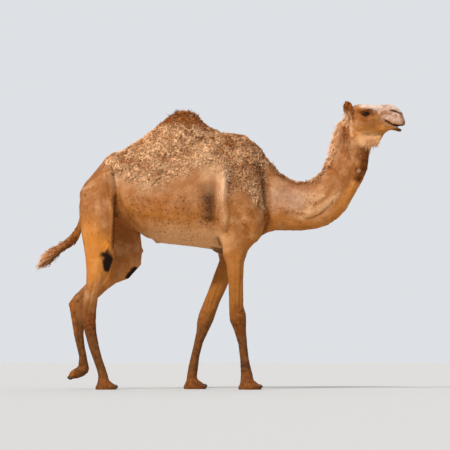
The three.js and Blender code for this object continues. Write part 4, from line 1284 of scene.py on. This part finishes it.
def wetEyes():
    # a long dark pupil in a dark brown iris; distances are from the middle of each ball
    made, tree, shader, place = plainMaterial("wetEye", 0.06)
    shader.inputs["Specular IOR Level"].default_value = 0.16
    ex, ez = eye["place"][::2]
    apart = addNode(tree, "ShaderNodeSeparateXYZ", Vector=place).outputs
    ahead = maths(tree, "SUBTRACT", apart[0], ex + eye["pupil"][0])
    ahead = maths(tree, "DIVIDE", ahead, eye["pupilWide"])
    above = maths(tree, "SUBTRACT", apart[2], ez + eye["pupil"][1])
    above = maths(tree, "DIVIDE", above, eye["pupilHigh"])
    flat = addNode(tree, "ShaderNodeCombineXYZ", i0=ahead, i1=above).outputs[0]
    far = addNode(tree, "ShaderNodeVectorMath", {"operation": "LENGTH"}, i0=flat).outputs[1]
    streaks = spread(tree, noiseAt(tree, place, 0.004, 3.0, 0.6), 0.3, 0.7)
    iris = mixColours(tree, streaks, fromScreen(48, 24, 12), fromScreen(78, 42, 20))
    iris = mixColours(tree, spread(tree, far, 1.7, 2.3), iris, fromScreen(26, 14, 10))
    eyeColour = mixColours(tree, spread(tree, far, 1.25, 1.0), iris, fromScreen(6, 5, 5))
    tree.links.new(eyeColour, shader.inputs["Base Color"])
    return made


eyeMaterial = wetEyes()
for side, name in ((-1, "Right"), (1, "Left")):
    x, y, z = eye["place"]
    bpy.ops.object.select_all(action="DESELECT")
    bpy.ops.mesh.primitive_uv_sphere_add(segments=64, ring_count=48, radius=eye["ball"], location=(x, side * y, z),
                                         rotation=(math.radians(90), 0, 0))
    ball = bpy.context.object
    ball.name = ball.data.name = "eyeball" + name
    bpy.ops.object.transform_apply()
    # the clear front stands out a little from the ball
    points = readPoints(ball.data)
    away = points - [x + eye["pupil"][0], side * (y + eye["ball"]), z + eye["pupil"][1]]
    pushOut(ball.data, points, smoothStep(0.016, 0.0, np.linalg.norm(away, axis=1)) * eye["bulge"])
    selectOnly(ball)
    bpy.ops.object.shade_smooth()
    ball.data.materials.append(eyeMaterial)
    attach(ball, "root")

# eyelashes and the stiff hairs of the brow: rooted along the lids

lashMaterial, tree, shader, place = plainMaterial("lash", 0.5)
paintBetween(tree, shader, noiseAt(tree, place, 0.003), (26, 14, 8), (58, 34, 20))

lashes = {"upper": (46, 0.023), "lower": (26, 0.012), "brow": (30, 0.02)}  # how many to an eye, how long


def rootLashes():
    x, y, z = eye["place"]
    rng = np.random.default_rng(70)
    roots, outs, lies, sizes = [], [], [], []
    for side in (-1, 1):
        ahead, up, outward = eyeAxes(side)
        for kind, (count, size) in lashes.items():
            for i in range(count):
                t = (i + rng.uniform(0.2, 0.8)) / count * 2 - 1
                u = t * eye["wide"] * (0.95 if kind != "brow" else 1.25)
                bend = 1 - (t * 0.95) ** 2
                if kind == "upper":
                    v, way = eye["high"] * bend + rng.uniform(-0.0006, 0.0016), (0.25 + 0.5 * t, -0.3, 1.0)
                elif kind == "lower":
                    v, way = -eye["low"] * bend - rng.uniform(0, 0.0012), (0.2 + 0.5 * t, -0.8, 0.8)
                else:
                    v, way = 0.026 - 0.006 * t * t + rng.uniform(-0.003, 0.004), (0.45, 0.1, 0.8)
                reach = eye["ball"] + eye["lid"] * (0.9 if kind != "brow" else 1.5)
                w = math.sqrt(max(reach ** 2 - u * u - v * v, 1e-6)) - 0.001
                roots.append(np.array([x, side * y, z]) + ahead * u + up * v + outward * w)
                way = ahead * way[0] + up * way[1] + outward * way[2]
                way += rng.normal(0, 0.1, 3)
                way /= np.linalg.norm(way)
                lies.append(way)
                out = up * (1 if kind != "lower" else -1)
                out = out - way * (out @ way)
                outs.append(out / np.linalg.norm(out))
                sizes.append(size)
    return np.array(roots), np.array(outs), np.array(lies), np.array(sizes)


roots, outs, lies, sizes = rootLashes()
around = np.nonzero(nearEyes(0.07)(middles))[0]
places = uvs[loops[around[nearest(middles[around], roots)], 0]]
lashStyle = {
    "rings": 4, "sink": 0.0, "shape": [1.0, 0.85, 0.6, 0.35, 0.15], "vary": 0.0, "tones": (0.5, 0.5), "length": 1.0,
    "lengthAt": lambda p: sizes, "width": 0.0011, "thick": 0.0009, "lift": -0.35, "droop": 2.2, "curl": 0.15,
    "stray": 0.05, "round": 0.8,
}
growTufts("lashes", roots, outs, lies, places, lashStyle, 71, lashMaterial)

# mouth: six lower incisors in their gum, and the tongue behind them

incisors = {"wide": 0.0082, "thick": 0.0052, "high": 0.017, "lean": 0.5, "count": 6, "arc": 0.95}
toothMaterial, tree, shader, place = plainMaterial("toothEnamel", 0.3)
height = addNode(tree, "ShaderNodeSeparateXYZ", Vector=place).outputs[2]
stain = maths(tree, "ADD", spread(tree, height, 1.928, 1.944), times(tree, noiseAt(tree, place, 0.003), 0.3))
paintBetween(tree, shader, stain, (150, 112, 66), (224, 208, 176))

crowns = []
for i in range(incisors["count"]):
    turn = incisors["arc"] * (2 * i / (incisors["count"] - 1) - 1)
    bpy.ops.object.select_all(action="DESELECT")
    bpy.ops.mesh.primitive_cube_add(size=1)
    tooth = bpy.context.object
    bpy.ops.object.mode_set(mode="EDIT")
    bpy.ops.mesh.select_all(action="SELECT")
    bpy.ops.transform.resize(value=(incisors["thick"], incisors["wide"], incisors["high"]))
    bpy.ops.mesh.subdivide(number_cuts=2)
    bpy.ops.object.mode_set(mode="OBJECT")
    points = readPoints(tooth.data)
    rise = points[:, 2] / incisors["high"] + 0.5
    points[:, 1] *= 0.6 + 0.4 * smoothStep(0.1, 0.75, rise)
    points[:, 0] *= 1.15 - 0.75 * smoothStep(0.4, 1.0, rise)
    points[:, 0] += 0.0012 * rise * rise
    writePoints(tooth.data, points)
    applyModifier(tooth, "SUBSURF", levels=2)
    tooth.rotation_euler = (0, incisors["lean"], turn)
    tooth.location = (1.2655 + 0.0245 * math.cos(turn), 0.0255 * math.sin(turn), 1.9355)
    crowns.append(tooth)
selectOnly(*crowns)
bpy.ops.object.join()
bpy.ops.object.transform_apply()
bpy.ops.object.shade_smooth()
teeth = bpy.context.object
teeth.name = teeth.data.name = "incisors"
teeth.data.materials.append(toothMaterial)
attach(teeth, "root")
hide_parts("lower_teeth")

tongueMaterial, tree, shader, place = plainMaterial("tongueFlesh", 0.35)
paintBetween(tree, shader, noiseAt(tree, place, 0.006, 3.0), (60, 22, 20), (96, 42, 38))
roughen(tree, shader, noiseAt(tree, place, 0.0015, 2.0), 0.4, 0.001)

for name, size, slope, place in (
    ("tongue", (0.052, 0.027, 0.011), -0.42, (1.243, 0, 1.9435)),
    ("dentalPad", (0.036, 0.0245, 0.0105), -0.08, (1.274, 0, 1.9545)),
):
    bpy.ops.object.select_all(action="DESELECT")
    bpy.ops.mesh.primitive_uv_sphere_add(segments=40, ring_count=24, radius=1)
    inner = bpy.context.object
    inner.name = inner.data.name = name
    bpy.ops.object.mode_set(mode="EDIT")
    bpy.ops.transform.resize(value=size)
    bpy.ops.object.mode_set(mode="OBJECT")
    points = readPoints(inner.data)
    if name == "tongue":
        points[:, 2] -= 0.003 * np.exp(-(points[:, 1] / 0.006) ** 2) * (points[:, 2] > 0)
    else:
        points[:, 2] += 0.0008 * np.cos(points[:, 0] * 900) * (points[:, 2] < 0)
    points[:, 2] += slope * points[:, 0]
    points += place
    writePoints(inner.data, points)
    selectOnly(inner)
    bpy.ops.object.shade_smooth()
    inner.data.materials.append(tongueMaterial)
    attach(inner, "root")

# nails: copies of the nodes, joined, remeshed and smoothed, horn brown to black with rings of growth

hornMaterial, tree, shader, place = plainMaterial("nailHorn", 0.45)
paintBetween(tree, shader, noiseAt(tree, place, 0.012, 3.0), (30, 20, 15), (70, 48, 34))
rings = addNode(tree, "ShaderNodeTexWave", {"bands_direction": "X"}, Vector=place, Scale=60.0, Distortion=2.5, Detail=2.0)
roughen(tree, shader, rings.outputs[1], 0.35, 0.0012)
horn = {"voxel": 0.0018, "rounds": 60, "regain": -0.44, "swell": 0.0012}
nailNodes = [n for n in sorted(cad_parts) if "nail" in n]
nails = joinCopies(nailNodes, "nails", 0.0)
remesh(nails, horn["voxel"])
points = readPoints(nails.data)
points = relax(points, readEdges(nails.data), np.ones(len(points)), horn["rounds"], outward=horn["regain"])
pushOut(nails.data, points, horn["swell"])
bpy.ops.object.shade_smooth()
nails.data.materials.append(hornMaterial)
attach(nails, "root")
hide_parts(*nailNodes)

# floor and light

studio = {
    "floorReach": 60,
    "floorPaint": (184, 181, 177),
    "sky": (0.93, 0.96, 1, 1),
    "skyStrength": 0.78,
    "suns": {"key": (3.0, 0.1, (38, -32, 0)), "fill": (0.5, 1.0, (-50, 20, 0))},  # strength, angle, turns
}
bpy.ops.object.select_all(action="DESELECT")
bpy.ops.mesh.primitive_circle_add(vertices=96, radius=studio["floorReach"], fill_type="NGON")
floor = bpy.context.object
floor.name = "floor"
floorPaint, tree, shader, place = plainMaterial("floorPaint", 0.9)
shader.inputs["Base Color"].default_value = fromScreen(*studio["floorPaint"])
floor.data.materials.append(floorPaint)

world = bpy.data.worlds.new("studio")
world.use_nodes = True
world.node_tree.nodes["Background"].inputs["Color"].default_value = studio["sky"]
world.node_tree.nodes["Background"].inputs["Strength"].default_value = studio["skyStrength"]
bpy.context.scene.world = world
bpy.context.scene.view_settings.view_transform = "Standard"
for name, (energy, angle, turns) in studio["suns"].items():
    sun = bpy.data.objects.new(name, bpy.data.lights.new(name, "SUN"))
    sun.data.energy = energy
    sun.data.angle = angle
    sun.rotation_euler = [math.radians(t) for t in turns]
    bpy.context.collection.objects.link(sun)
